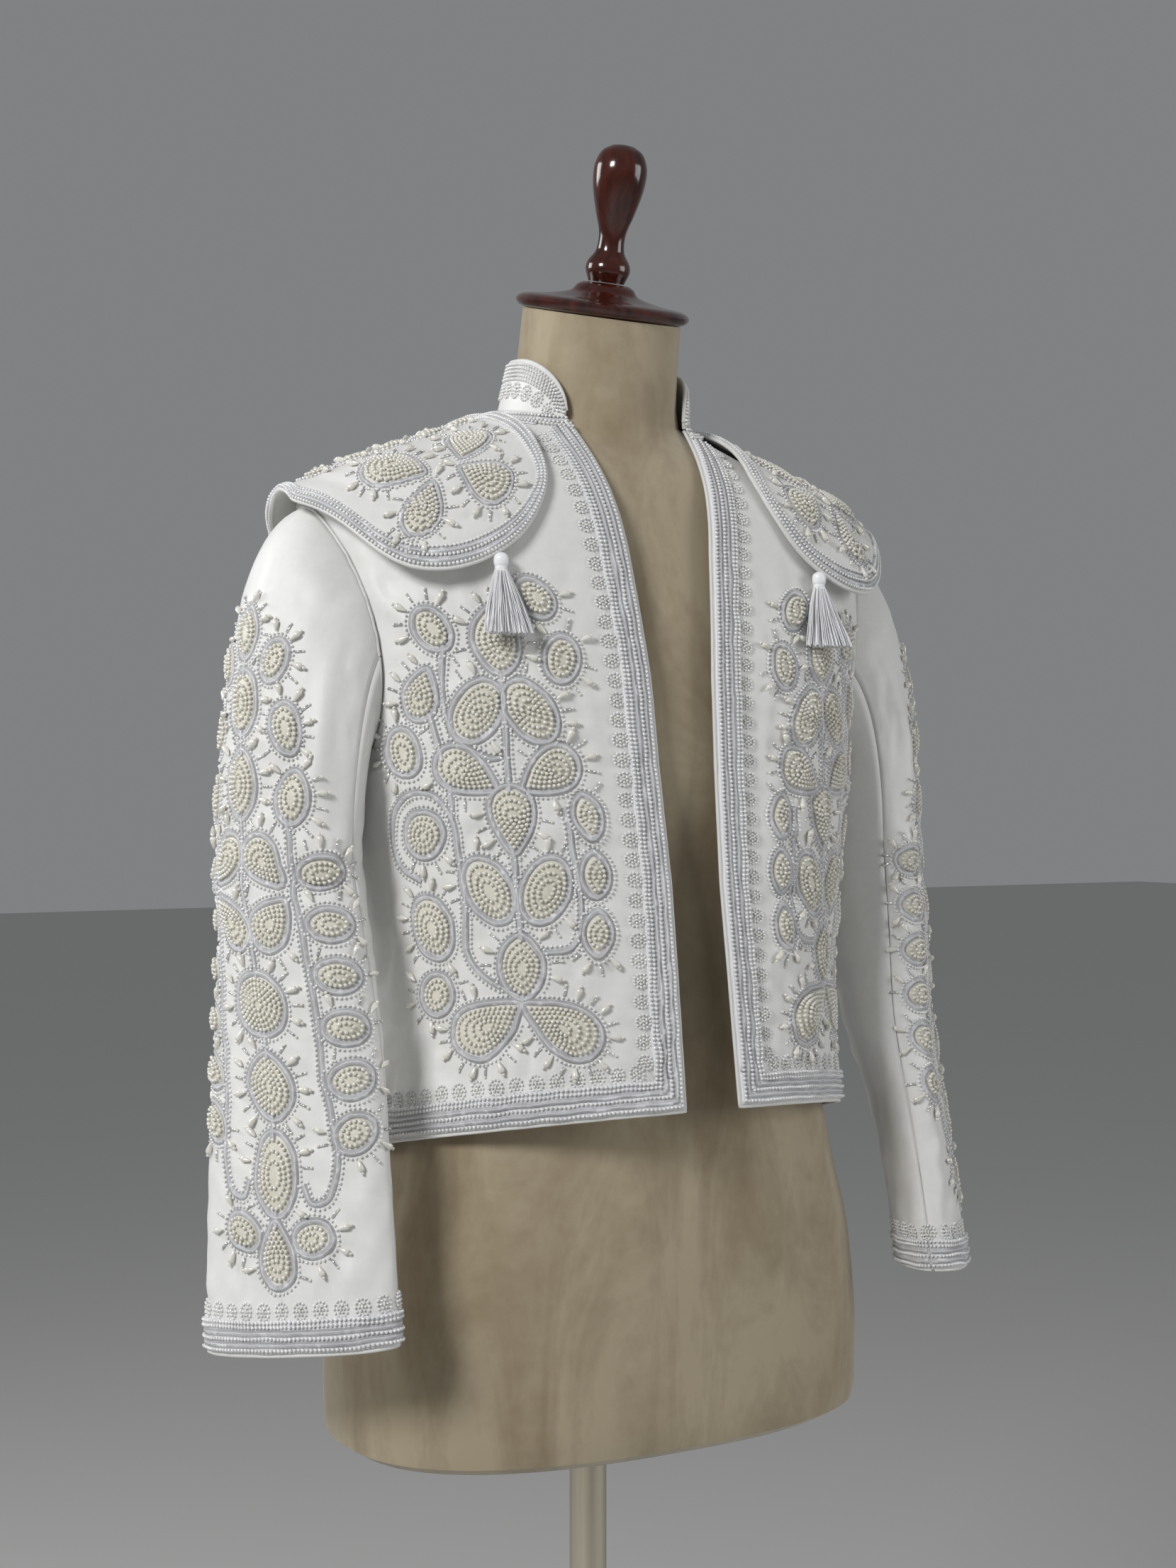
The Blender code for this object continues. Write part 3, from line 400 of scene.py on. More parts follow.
class Panel:
    """A piece of cloth: a grid of points on its inner side, row 0 at its hem."""

    def __init__(self, points: np.ndarray, wall: float, centred: bool = False) -> None:
        """Measure the grid.

        Args:
            points: Rows from the hem up, columns so that their direction and up give outward.
            wall: The cloth's thickness.
            centred: True where the distance across is counted from the middle.
        """
        self.points = np.array(points, dtype=float)
        self.wall = wall
        self.centred = centred
        self.measure()

    def measure(self) -> None:
        """Work out the normals and the metric coordinates of the grid."""
        self.rows, self.columns = self.points.shape[:2]
        self.normals = surface_normals(self.points)
        steps = np.linalg.norm(np.diff(self.points, axis=1), axis=2)
        self.across = np.concatenate((np.zeros((self.rows, 1)), np.cumsum(steps, axis=1)), axis=1)
        self.width = self.across[:, -1:]
        self.share = self.across / self.width
        if self.centred:
            self.across = self.across - 0.5 * self.width
        climbs = np.linalg.norm(np.diff(self.points, axis=0), axis=2)
        self.up = np.concatenate((np.zeros((1, self.columns)), np.cumsum(climbs, axis=0)), axis=0)

    def creased(self, creases: Sequence[Crease], pucker: float, seed: int,
                quiet: Callable[[np.ndarray], np.ndarray] | None = None, ripple: float = 0.0) -> "Panel":
        """Move the points in soft folds and fine puckers.

        Args:
            creases: The folds, in metres across and heights.
            pucker: The height of the fine waves.
            seed: The seed of the waves.
            quiet: Gives for each height how much of all this is left there.
            ripple: The height of the short ripples over the hem's border.

        Returns:
            This panel.
        """
        height = self.points[..., 2]
        move = np.zeros_like(height)
        for fold in creases:
            run = np.array((fold.run_across, fold.run_height))
            length = float(np.linalg.norm(run))
            dx, dz = self.across - fold.across, height - fold.height
            along = (dx * run[0] + dz * run[1]) / length**2
            beside = (dx * run[1] - dz * run[0]) / length
            taper = np.sin(np.pi * np.clip(along, 0.0, 1.0)) ** 0.8
            move += FOLD_DEPTH * fold.rise * taper * np.exp(-(beside / fold.width) ** 2)
        uneven = 2.0 * math.pi * self.across / RIPPLE_PITCH + 2.2 * np.sin(self.across * 61.0)
        move += ripple * np.sin(uneven) * np.exp(-((self.up - RIPPLE_HEIGHT) / 0.009) ** 2)
        chance = np.random.default_rng(seed)
        for _ in range(22):
            wave, phase = chance.uniform(0.014, 0.036), chance.uniform(0.0, 2.0 * math.pi)
            lean = chance.uniform(0.0, math.pi)
            reach = self.across * math.cos(lean) + height * math.sin(lean)
            move += pucker / 5.0 * np.sin(2.0 * math.pi * reach / wave + phase)
        if quiet is not None:
            move = move * quiet(height)
        to_side = np.minimum(self.across - self.across[:, :1], self.across[:, -1:] - self.across)
        move = move * np.clip(to_side / SIDE_FADE, 0.0, 1.0)
        self.points = self.points + self.normals * move[..., None]
        self.measure()
        return self

    def lay(self, flat: np.ndarray, chart: Chart = Chart.HEIGHT) -> Laid:
        """Carry flat places onto the cloth's outer side.

        Args:
            flat: Rows of two numbers in the chart's terms.
            chart: What the numbers mean.

        Returns:
            The places on the outer side.
        """
        flat = np.asarray(flat, dtype=float)
        side = self.share if chart in (Chart.NECK, Chart.GRID) else self.across
        level = {Chart.HEIGHT: self.points[..., 2], Chart.HEM: self.up, Chart.NECK: self.up - self.up[-1:],
                 Chart.GRID: np.repeat(np.linspace(0.0, 1.0, self.rows)[:, None], self.columns, axis=1)}[chart]
        wanted = -flat[:, 1] if chart is Chart.NECK else flat[:, 1]
        table = np.array([np.interp(flat[:, 0], side[r], level[r]) for r in range(self.rows)])
        table = np.maximum.accumulate(table, axis=0)
        ranks = np.arange(self.rows)
        place = np.array([np.interp(wanted[k], table[:, k], ranks) for k in range(len(flat))])
        low = np.clip(place.astype(int), 0, self.rows - 2)
        f = (place - low)[:, None]
        files = np.arange(self.columns)
        corners = []
        for row in (low, low + 1):
            column = np.array([np.interp(x, side[r], files) for x, r in zip(flat[:, 0], row)])
            left = np.clip(column.astype(int), 0, self.columns - 2)
            g = (column - left)[:, None]
            corners.append((self.points[row, left] * (1 - g) + self.points[row, left + 1] * g,
                            self.normals[row, left] * (1 - g) + self.normals[row, left + 1] * g))
        points = corners[0][0] * (1 - f) + corners[1][0] * f
        outward = corners[0][1] * (1 - f) + corners[1][1] * f
        outward /= np.linalg.norm(outward, axis=1, keepdims=True)
        return Laid(points + outward * self.wall, outward)

    def flat_size(self) -> tuple[float, float, float]:
        """The cut's greatest width, its greatest length and its area."""
        a, b = np.diff(self.points, axis=0)[:, :-1], np.diff(self.points, axis=1)[:-1]
        area = float(np.linalg.norm(np.cross(a, b), axis=2).sum())
        width, length = float(self.width.max()), float(self.up[-1].max())
        return width, length, min(area, width * length)


# Meshes and objects

def new_object(name: str, mesh: bpy.types.Mesh, material: bpy.types.Material | None = None,
               sharp: float = 40.0) -> bpy.types.Object:
    """Put a mesh in the scene.

    Args:
        name: The piece's name.
        mesh: Its mesh, in place.
        material: Its material, or None where the mesh has its own.
        sharp: Edges sharper than this, in degrees, stay sharp.

    Returns:
        The object, at the origin.
    """
    mesh.name = name
    thing = bpy.data.objects.new(name, mesh)
    bpy.context.scene.collection.objects.link(thing)
    if material is not None:
        mesh.materials.clear()
        mesh.materials.append(material)
    mesh.shade_smooth()
    mesh.set_sharp_from_angle(angle=math.radians(sharp))
    return thing


def grid_mesh(points: np.ndarray, cloth: np.ndarray | None = None, closed: bool = False) -> bpy.types.Mesh:
    """A mesh of quads over a grid.

    Args:
        points: The grid.
        cloth: Metres across and along the cloth at each point, for the weave.
        closed: True where the last column joins the first.

    Returns:
        The mesh.
    """
    rows, columns = points.shape[:2]
    last = columns if closed else columns - 1
    faces = [(r * columns + c, r * columns + (c + 1) % columns,
              (r + 1) * columns + (c + 1) % columns, (r + 1) * columns + c)
             for r in range(rows - 1) for c in range(last)]
    mesh = bpy.data.meshes.new("grid")
    mesh.from_pydata(points.reshape(-1, 3).tolist(), [], faces)
    if cloth is not None:
        layer = mesh.attributes.new("cloth", "FLOAT_VECTOR", "POINT")
        layer.data.foreach_set("vector", np.ascontiguousarray(cloth, dtype=np.float32).reshape(-1))
    mesh.update()
    return mesh


def finish_piece(thing: bpy.types.Object, slot: str, *replaced: str) -> bpy.types.Object:
    """Tie a piece to the frame.

    Args:
        thing: The piece.
        slot: Not used.
        replaced: The nodes that it stands for.

    Returns:
        The piece.
    """
    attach(thing, BODY)
    if replaced:
        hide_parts(*replaced)
    return thing


def shell(name: str, panel: Panel, material: bpy.types.Material, side: str) -> bpy.types.Object:
    """A panel as cloth with a thickness.

    Args:
        name: The piece's name.
        panel: The left panel, or one that isn't mirrored.
        material: Its material.
        side: "right" for the mirror image.

    Returns:
        The piece.
    """
    points = panel.points
    cloth = np.stack((panel.across, panel.up, np.zeros_like(panel.up)), axis=-1)
    if side == "right":
        points = points[:, ::-1] * np.array((-1.0, 1.0, 1.0))
        cloth = cloth[:, ::-1]
    thing = new_object(name, grid_mesh(points, cloth), material, 50.0)
    wall = thing.modifiers.new("wall", "SOLIDIFY")
    wall.offset = 1.0
    wall.thickness = panel.wall
    return thing


def turned_mesh(profile: Sequence[tuple[float, float]], place: Sequence[float], tilt: float,
                segments: int, fine: float) -> bpy.types.Mesh:
    """A turned shape.

    Args:
        profile: Radius and height pairs from the top down, starting and ending on the axis.
        place: Where its foot stands.
        tilt: Its lean to the front, in degrees.
        segments: How many sides it has.
        fine: The length of a step along the profile.

    Returns:
        The closed mesh, in place.
    """
    outline = smooth_line(profile[1:-1], fine)
    outline = np.vstack((profile[0], outline, profile[-1]))
    angles = np.linspace(0.0, 2.0 * math.pi, segments, endpoint=False)
    shape = bmesh.new()
    rings = []
    for radius, height in outline[1:-1]:
        rings.append([shape.verts.new((radius * math.cos(a), radius * math.sin(a), height)) for a in angles])
    top, foot = shape.verts.new((0.0, 0.0, outline[0][1])), shape.verts.new((0.0, 0.0, outline[-1][1]))
    for k in range(segments):
        after = (k + 1) % segments
        shape.faces.new((top, rings[0][k], rings[0][after]))
        shape.faces.new((foot, rings[-1][after], rings[-1][k]))
        for upper, lower in zip(rings, rings[1:]):
            shape.faces.new((upper[k], lower[k], lower[after], upper[after]))
    bmesh.ops.recalc_face_normals(shape, faces=shape.faces)
    lean = math.radians(tilt)
    for vert in shape.verts:
        x, y, z = vert.co
        vert.co = (place[0] + x, place[1] + y * math.cos(lean) - z * math.sin(lean),
                   place[2] + y * math.sin(lean) + z * math.cos(lean))
    mesh = bpy.data.meshes.new("turned")
    shape.to_mesh(mesh)
    shape.free()
    return mesh


# Node trees

class NodeSketch:
    """Adds nodes to a tree and joins them."""

    def __init__(self, tree: bpy.types.NodeTree) -> None:
        """Keep the tree."""
        self.tree = tree

    def add(self, kind: str, settings: dict | None = None, **inputs) -> bpy.types.Node:
        """Add one node.

        Args:
            kind: The node's type.
            settings: Its properties.
            inputs: Values or sockets, by the input's identifier with _ for a space.

        Returns:
            The node.
        """
        node = self.tree.nodes.new(kind)
        for key, value in (settings or {}).items():
            setattr(node, key, value)
        for key, value in inputs.items():
            target = self.find(node, key)
            if isinstance(value, bpy.types.NodeSocket):
                self.tree.links.new(value, target)
            else:
                target.default_value = value
        return node

    def geo(self, kind: str, settings: dict | None = None, **inputs) -> bpy.types.Node:
        """Add one Geometry node, named by the end of its type."""
        return self.add(f"GeometryNode{kind}", settings, **inputs)

    @staticmethod
    def find(node: bpy.types.Node, key: str) -> bpy.types.NodeSocket:
        """The input with that identifier or name."""
        plain = key.replace("_", " ")
        for socket in node.inputs:
            if socket.enabled and (socket.identifier in (key, plain) or socket.name == plain):
                return socket
        raise KeyError(f"{node.bl_idname} has no input {key}")

    def math(self, operation: str, *values: bpy.types.NodeSocket | float) -> bpy.types.NodeSocket:
        """The output of a Math node."""
        node = self.tree.nodes.new("ShaderNodeMath")
        node.operation = operation
        self.fill(node, values)
        return node.outputs[0]

    def vector(self, operation: str, *values: bpy.types.NodeSocket | Sequence[float]) -> bpy.types.NodeSocket:
        """The output of a Vector Math node."""
        node = self.tree.nodes.new("ShaderNodeVectorMath")
        node.operation = operation
        self.fill(node, values)
        return node.outputs[0]

    def fill(self, node: bpy.types.Node, values: Sequence) -> None:
        """Set or join a node's first inputs in order."""
        for socket, value in zip(node.inputs, values):
            if isinstance(value, bpy.types.NodeSocket):
                self.tree.links.new(value, socket)
            else:
                socket.default_value = value


def new_tree(kind: str, name: str, inputs: Sequence[tuple[str, str, object]], outputs: Sequence[tuple[str, str]]
             ) -> tuple[NodeSketch, bpy.types.bpy_prop_collection, bpy.types.Node]:
    """A node group with its sockets.

    Args:
        kind: ShaderNodeTree or GeometryNodeTree.
        name: The group's name.
        inputs: Name, type and default value of each input.
        outputs: Name and type of each output.

    Returns:
        A sketch of the tree, the sockets of its inputs, and its output node.
    """
    tree = bpy.data.node_groups.new(name, kind)
    for label, socket_type, value in inputs:
        socket = tree.interface.new_socket(name=label, in_out="INPUT", socket_type=f"NodeSocket{socket_type}")
        if value is not None:
            socket.default_value = value
    for label, socket_type in outputs:
        tree.interface.new_socket(name=label, in_out="OUTPUT", socket_type=f"NodeSocket{socket_type}")
    return NodeSketch(tree), tree.nodes.new("NodeGroupInput").outputs, tree.nodes.new("NodeGroupOutput")


# Shared shader effects

class Effects:
    """Shader groups that more than one finish uses."""

    def __init__(self) -> None:
        """Build each group once."""
        self.weave = self.build_weave()
        self.mottle = self.build_mottle()
        self.chevron = self.build_chevron()
        self.streaks = self.build_streaks()

    @staticmethod
    def build_weave() -> bpy.types.NodeTree:
        """Crossed threads: a height and a faint tone."""
        sketch, given, out = new_tree("ShaderNodeTree", "woven_threads", (
            ("Vector", "Vector", None), ("Pitch", "Float", 0.0006)), (("Height", "Float"), ("Tone", "Float")))
        split = sketch.add("ShaderNodeSeparateXYZ", Vector=given["Vector"])
        turn = sketch.math("DIVIDE", 2.0 * math.pi, given["Pitch"])
        warp = sketch.math("SINE", sketch.math("MULTIPLY", split.outputs[0], turn))
        weft = sketch.math("SINE", sketch.math("MULTIPLY", split.outputs[1], turn))
        height = sketch.math("MULTIPLY_ADD", sketch.math("MULTIPLY", warp, weft), 0.5, 0.5)
        slub = sketch.add("ShaderNodeTexNoise", Vector=given["Vector"], Scale=160.0, Detail=3.0)
        sketch.tree.links.new(height, out.inputs["Height"])
        sketch.tree.links.new(slub.outputs["Fac"], out.inputs["Tone"])
        return sketch.tree

    @staticmethod
    def build_mottle() -> bpy.types.NodeTree:
        """Uneven tone at two scales."""
        sketch, given, out = new_tree("ShaderNodeTree", "uneven_tone", (
            ("Vector", "Vector", None), ("Coarse", "Float", 9.0), ("Fine", "Float", 90.0)),
            (("Tone", "Float"), ("Height", "Float")))
        coarse = sketch.add("ShaderNodeTexNoise", Vector=given["Vector"], Scale=given["Coarse"],
                            Detail=4.0, Roughness=0.6)
        fine = sketch.add("ShaderNodeTexNoise", Vector=given["Vector"], Scale=given["Fine"],
                          Detail=5.0, Roughness=0.6)
        tone = sketch.math("MULTIPLY_ADD", fine.outputs["Fac"], 0.35,
                           sketch.math("MULTIPLY", coarse.outputs["Fac"], 0.65))
        sketch.tree.links.new(tone, out.inputs["Tone"])
        sketch.tree.links.new(fine.outputs["Fac"], out.inputs["Height"])
        return sketch.tree

    @staticmethod
    def build_chevron() -> bpy.types.NodeTree:
        """Slanted stitches that meet in chevrons, with painted shade in the troughs between the stitches."""
        sketch, given, out = new_tree("ShaderNodeTree", "chevron_stitches_painted_shade", (
            ("Vector", "Vector", None), ("Pitch", "Float", 0.0012), ("Lane", "Float", 0.0036)),
            (("Height", "Float"), ("Tone", "Float")))
        split = sketch.add("ShaderNodeSeparateXYZ", Vector=given["Vector"])
        folded = sketch.math("PINGPONG", split.outputs[0], given["Lane"])
        slant = sketch.math("ADD", split.outputs[1], folded)
        turn = sketch.math("DIVIDE", 2.0 * math.pi, given["Pitch"])
        wave = sketch.math("SINE", sketch.math("MULTIPLY", slant, turn))
        lane = sketch.math("DIVIDE", folded, given["Lane"])
        groove = sketch.math("SINE", sketch.math("MULTIPLY", lane, math.pi))
        height = sketch.math("MULTIPLY", sketch.math("MULTIPLY_ADD", wave, 0.5, 0.5), groove)
        sketch.tree.links.new(height, out.inputs["Height"])
        # The tone rises and falls with the stitch wave, so the troughs get painted shade on top of the bump's own
        # shading.
        sketch.tree.links.new(sketch.math("MULTIPLY_ADD", wave, 0.5, 0.5), out.inputs["Tone"])
        return sketch.tree

    @staticmethod
    def build_streaks() -> bpy.types.NodeTree:
        """Long soft streaks with blotches, for brushed nap and for wood."""
        sketch, given, out = new_tree("ShaderNodeTree", "long_streaks", (
            ("Vector", "Vector", None), ("Scale", "Float", 20.0), ("Stretch", "Vector", (1.0, 1.0, 0.15)),
            ("Twist", "Float", 1.0)), (("Tone", "Float"), ("Fine", "Float")))
        stretched = sketch.vector("MULTIPLY", given["Vector"], given["Stretch"])
        streak = sketch.add("ShaderNodeTexNoise", Vector=stretched, Scale=given["Scale"], Detail=6.0,
                            Roughness=0.62, Distortion=given["Twist"])
        finer = sketch.math("MULTIPLY", given["Scale"], 11.0)
        fine = sketch.add("ShaderNodeTexNoise", Vector=stretched, Scale=finer, Detail=4.0, Roughness=0.7)
        sketch.tree.links.new(streak.outputs["Fac"], out.inputs["Tone"])
        sketch.tree.links.new(fine.outputs["Fac"], out.inputs["Fine"])
        return sketch.tree


class Coordinates(Enum):
    """Where a finish reads its pattern."""

    CLOTH = "cloth"
    RIBBON = "ribbon"
    OBJECT = "object"


@dataclass(frozen=True)
class Finish:
    """A surface: two colours that its pattern mixes, its gloss, and its relief."""

    name: str
    slot: str
    dark: tuple[float, float, float]
    light: tuple[float, float, float]
    roughness: float
    effect: str
    coordinates: Coordinates
    inputs: dict = field(default_factory=dict)
    low: float = 0.3
    high: float = 0.7
    relief: float = 0.0002
    strength: float = 0.4
    metallic: float = 0.0
    sheen: float = 0.0
    coat: float = 0.0
    subsurface: float = 0.0
    anisotropy: float = 0.0
    uneven_gloss: float = 0.0
    second: str = ""
    second_amount: float = 0.0

    def material(self, effects: Effects) -> bpy.types.Material:
        """Make the material.

        Args:
            effects: The shared shader groups.

        Returns:
            A Principled material with the pattern in its colour, gloss and bump.
        """
        material = bpy.data.materials.new(self.name)
        material.use_nodes = True
        tree = material.node_tree
        sketch = NodeSketch(tree)
        shader = tree.nodes["Principled BSDF"]
        if self.coordinates is Coordinates.OBJECT:
            place = sketch.add("ShaderNodeTexCoord").outputs["Object"]
        else:
            place = sketch.add("ShaderNodeAttribute", {"attribute_name": self.coordinates.value}).outputs["Vector"]
        pattern = sketch.add("ShaderNodeGroup", {"node_tree": getattr(effects, self.effect)}, Vector=place,
                             **self.inputs)
        tone = pattern.outputs["Tone"]
        height = pattern.outputs["Height"] if "Height" in pattern.outputs else pattern.outputs["Fine"]
        if self.second:
            whole = sketch.add("ShaderNodeTexCoord").outputs["Object"]
            other = sketch.add("ShaderNodeGroup", {"node_tree": getattr(effects, self.second)}, Vector=whole)
            tone = sketch.math("ADD", sketch.math("MULTIPLY", tone, 1.0 - self.second_amount),
                               sketch.math("MULTIPLY", other.outputs["Tone"], self.second_amount))
        share = sketch.add("ShaderNodeMapRange", Value=tone, From_Min=self.low, From_Max=self.high)
        mix = sketch.add("ShaderNodeMix", {"data_type": "RGBA"})
        tree.links.new(share.outputs[0], mix.inputs[0])
        mix.inputs[6].default_value = (*self.dark, 1.0)
        mix.inputs[7].default_value = (*self.light, 1.0)
        tree.links.new(mix.outputs[2], shader.inputs["Base Color"])
        if self.uneven_gloss > 0.0:
            gloss = sketch.math("MULTIPLY_ADD", share.outputs[0], -self.uneven_gloss, self.roughness)
            tree.links.new(gloss, shader.inputs["Roughness"])
        else:
            shader.inputs["Roughness"].default_value = self.roughness
        bump = sketch.add("ShaderNodeBump", Strength=self.strength, Distance=self.relief, Height=height)
        tree.links.new(bump.outputs["Normal"], shader.inputs["Normal"])
        constants = {"Metallic": self.metallic, "Sheen Weight": self.sheen, "Coat Weight": self.coat,
                     "Subsurface Weight": self.subsurface, "Anisotropic": self.anisotropy}
        for label, value in constants.items():
            shader.inputs[label].default_value = value
        if self.coat > 0.0:
            shader.inputs["Coat Roughness"].default_value = 0.08
        if self.subsurface > 0.0:
            shader.inputs["Subsurface Scale"].default_value = 0.0015
        if self.sheen > 0.0:
            shader.inputs["Sheen Roughness"].default_value = 0.4
        return material


FINISHES = (
    Finish("ivory_satin", "satin", (0.74, 0.735, 0.715), (0.84, 0.835, 0.82), 0.50, "weave", Coordinates.CLOTH,
           {"Pitch": 0.0007}, 0.2, 0.8, 0.00006, 0.25, sheen=0.18, second="mottle", second_amount=0.55),
    # The piping's darker colour is painted shade, laid in the troughs of its twisted stitches.
    Finish("satin_piping", "satin", (0.72, 0.715, 0.70), (0.85, 0.845, 0.83), 0.42, "chevron", Coordinates.RIBBON,
           {"Pitch": 0.0016, "Lane": 0.5}, 0.0, 0.8, 0.0002, 0.35, sheen=0.2),
    Finish("petal_ground", "satin", (0.66, 0.63, 0.53), (0.78, 0.755, 0.67), 0.55, "mottle", Coordinates.OBJECT,
           {"Coarse": 260.0, "Fine": 1400.0}, 0.3, 0.7, 0.0002, 0.4, sheen=0.1),
    # In both braids the darker colour is painted shade in the troughs between stitches, and the lavender tint in both
    # colours is the braid's own.
    Finish("lavender_braid", "braid", (0.80, 0.80, 0.84), (0.94, 0.94, 0.965), 0.42, "chevron",
           Coordinates.CLOTH, {"Pitch": 0.0014, "Lane": 0.0036}, 0.0, 0.85, 0.0005, 0.8, sheen=0.2),
    Finish("corded_outline", "braid", (0.82, 0.82, 0.86), (0.96, 0.96, 0.98), 0.42, "chevron",
           Coordinates.RIBBON, {"Pitch": 0.0016, "Lane": 0.25}, 0.0, 0.75, 0.0004, 0.8, sheen=0.2),
    Finish("ivory_pearl", "pearl", (0.72, 0.70, 0.62), (0.89, 0.875, 0.81), 0.18, "mottle", Coordinates.OBJECT,
           {"Coarse": 30.0, "Fine": 300.0}, 0.3, 0.7, 0.0001, 0.05, coat=1.0),
    Finish("seed_bead", "glass_bead", (0.72, 0.72, 0.715), (0.94, 0.94, 0.93), 0.14, "mottle",
           Coordinates.OBJECT, {"Coarse": 60.0, "Fine": 700.0}, 0.35, 0.65, 0.0001, 0.05, coat=1.0),
    Finish("glass_tube", "glass_bead", (0.56, 0.56, 0.57), (0.88, 0.88, 0.87), 0.12, "mottle",
           Coordinates.OBJECT, {"Coarse": 45.0, "Fine": 500.0}, 0.42, 0.58, 0.0001, 0.05, metallic=0.65, coat=0.6),
    Finish("tassel_thread", "silk", (0.92, 0.92, 0.95), (0.98, 0.98, 0.99), 0.34, "mottle",
           Coordinates.OBJECT, {"Coarse": 120.0, "Fine": 900.0}, 0.3, 0.7, 0.0001, 0.2, sheen=0.3,
           anisotropy=0.5),
    Finish("peach_lining", "lining", (0.55, 0.34, 0.21), (0.68, 0.45, 0.30), 0.45, "weave", Coordinates.CLOTH,
           {"Pitch": 0.0006}, 0.2, 0.8, 0.00005, 0.2, sheen=0.1),
    Finish("taupe_suede", "suede", (0.262, 0.202, 0.124), (0.418, 0.350, 0.242), 0.88, "streaks",
           Coordinates.OBJECT, {"Scale": 15.0, "Stretch": (1.0, 1.0, 0.35), "Twist": 0.9}, 0.34, 0.56,
           0.0004, 0.35, sheen=0.35, second="mottle", second_amount=0.35),
    Finish("red_brown_wood", "wood", (0.018, 0.003, 0.0018), (0.085, 0.014, 0.006), 0.16, "streaks",
           Coordinates.OBJECT, {"Scale": 42.0, "Stretch": (1.0, 1.0, 0.12), "Twist": 1.6}, 0.38, 0.66,
           0.0001, 0.08, coat=0.3),
    Finish("polished_pole", "pole_metal", (0.52, 0.46, 0.36), (0.66, 0.61, 0.52), 0.14, "streaks",
           Coordinates.OBJECT, {"Scale": 70.0, "Stretch": (1.0, 1.0, 0.02), "Twist": 0.0}, 0.3, 0.7,
           0.0001, 0.05, metallic=1.0, uneven_gloss=0.04),
    Finish("black_base", "base_metal", (0.012, 0.012, 0.013), (0.028, 0.028, 0.030), 0.42, "mottle",
           Coordinates.OBJECT, {"Coarse": 25.0, "Fine": 900.0}, 0.3, 0.7, 0.0002, 0.25, coat=0.2),
)


# Geometry Nodes for what repeats

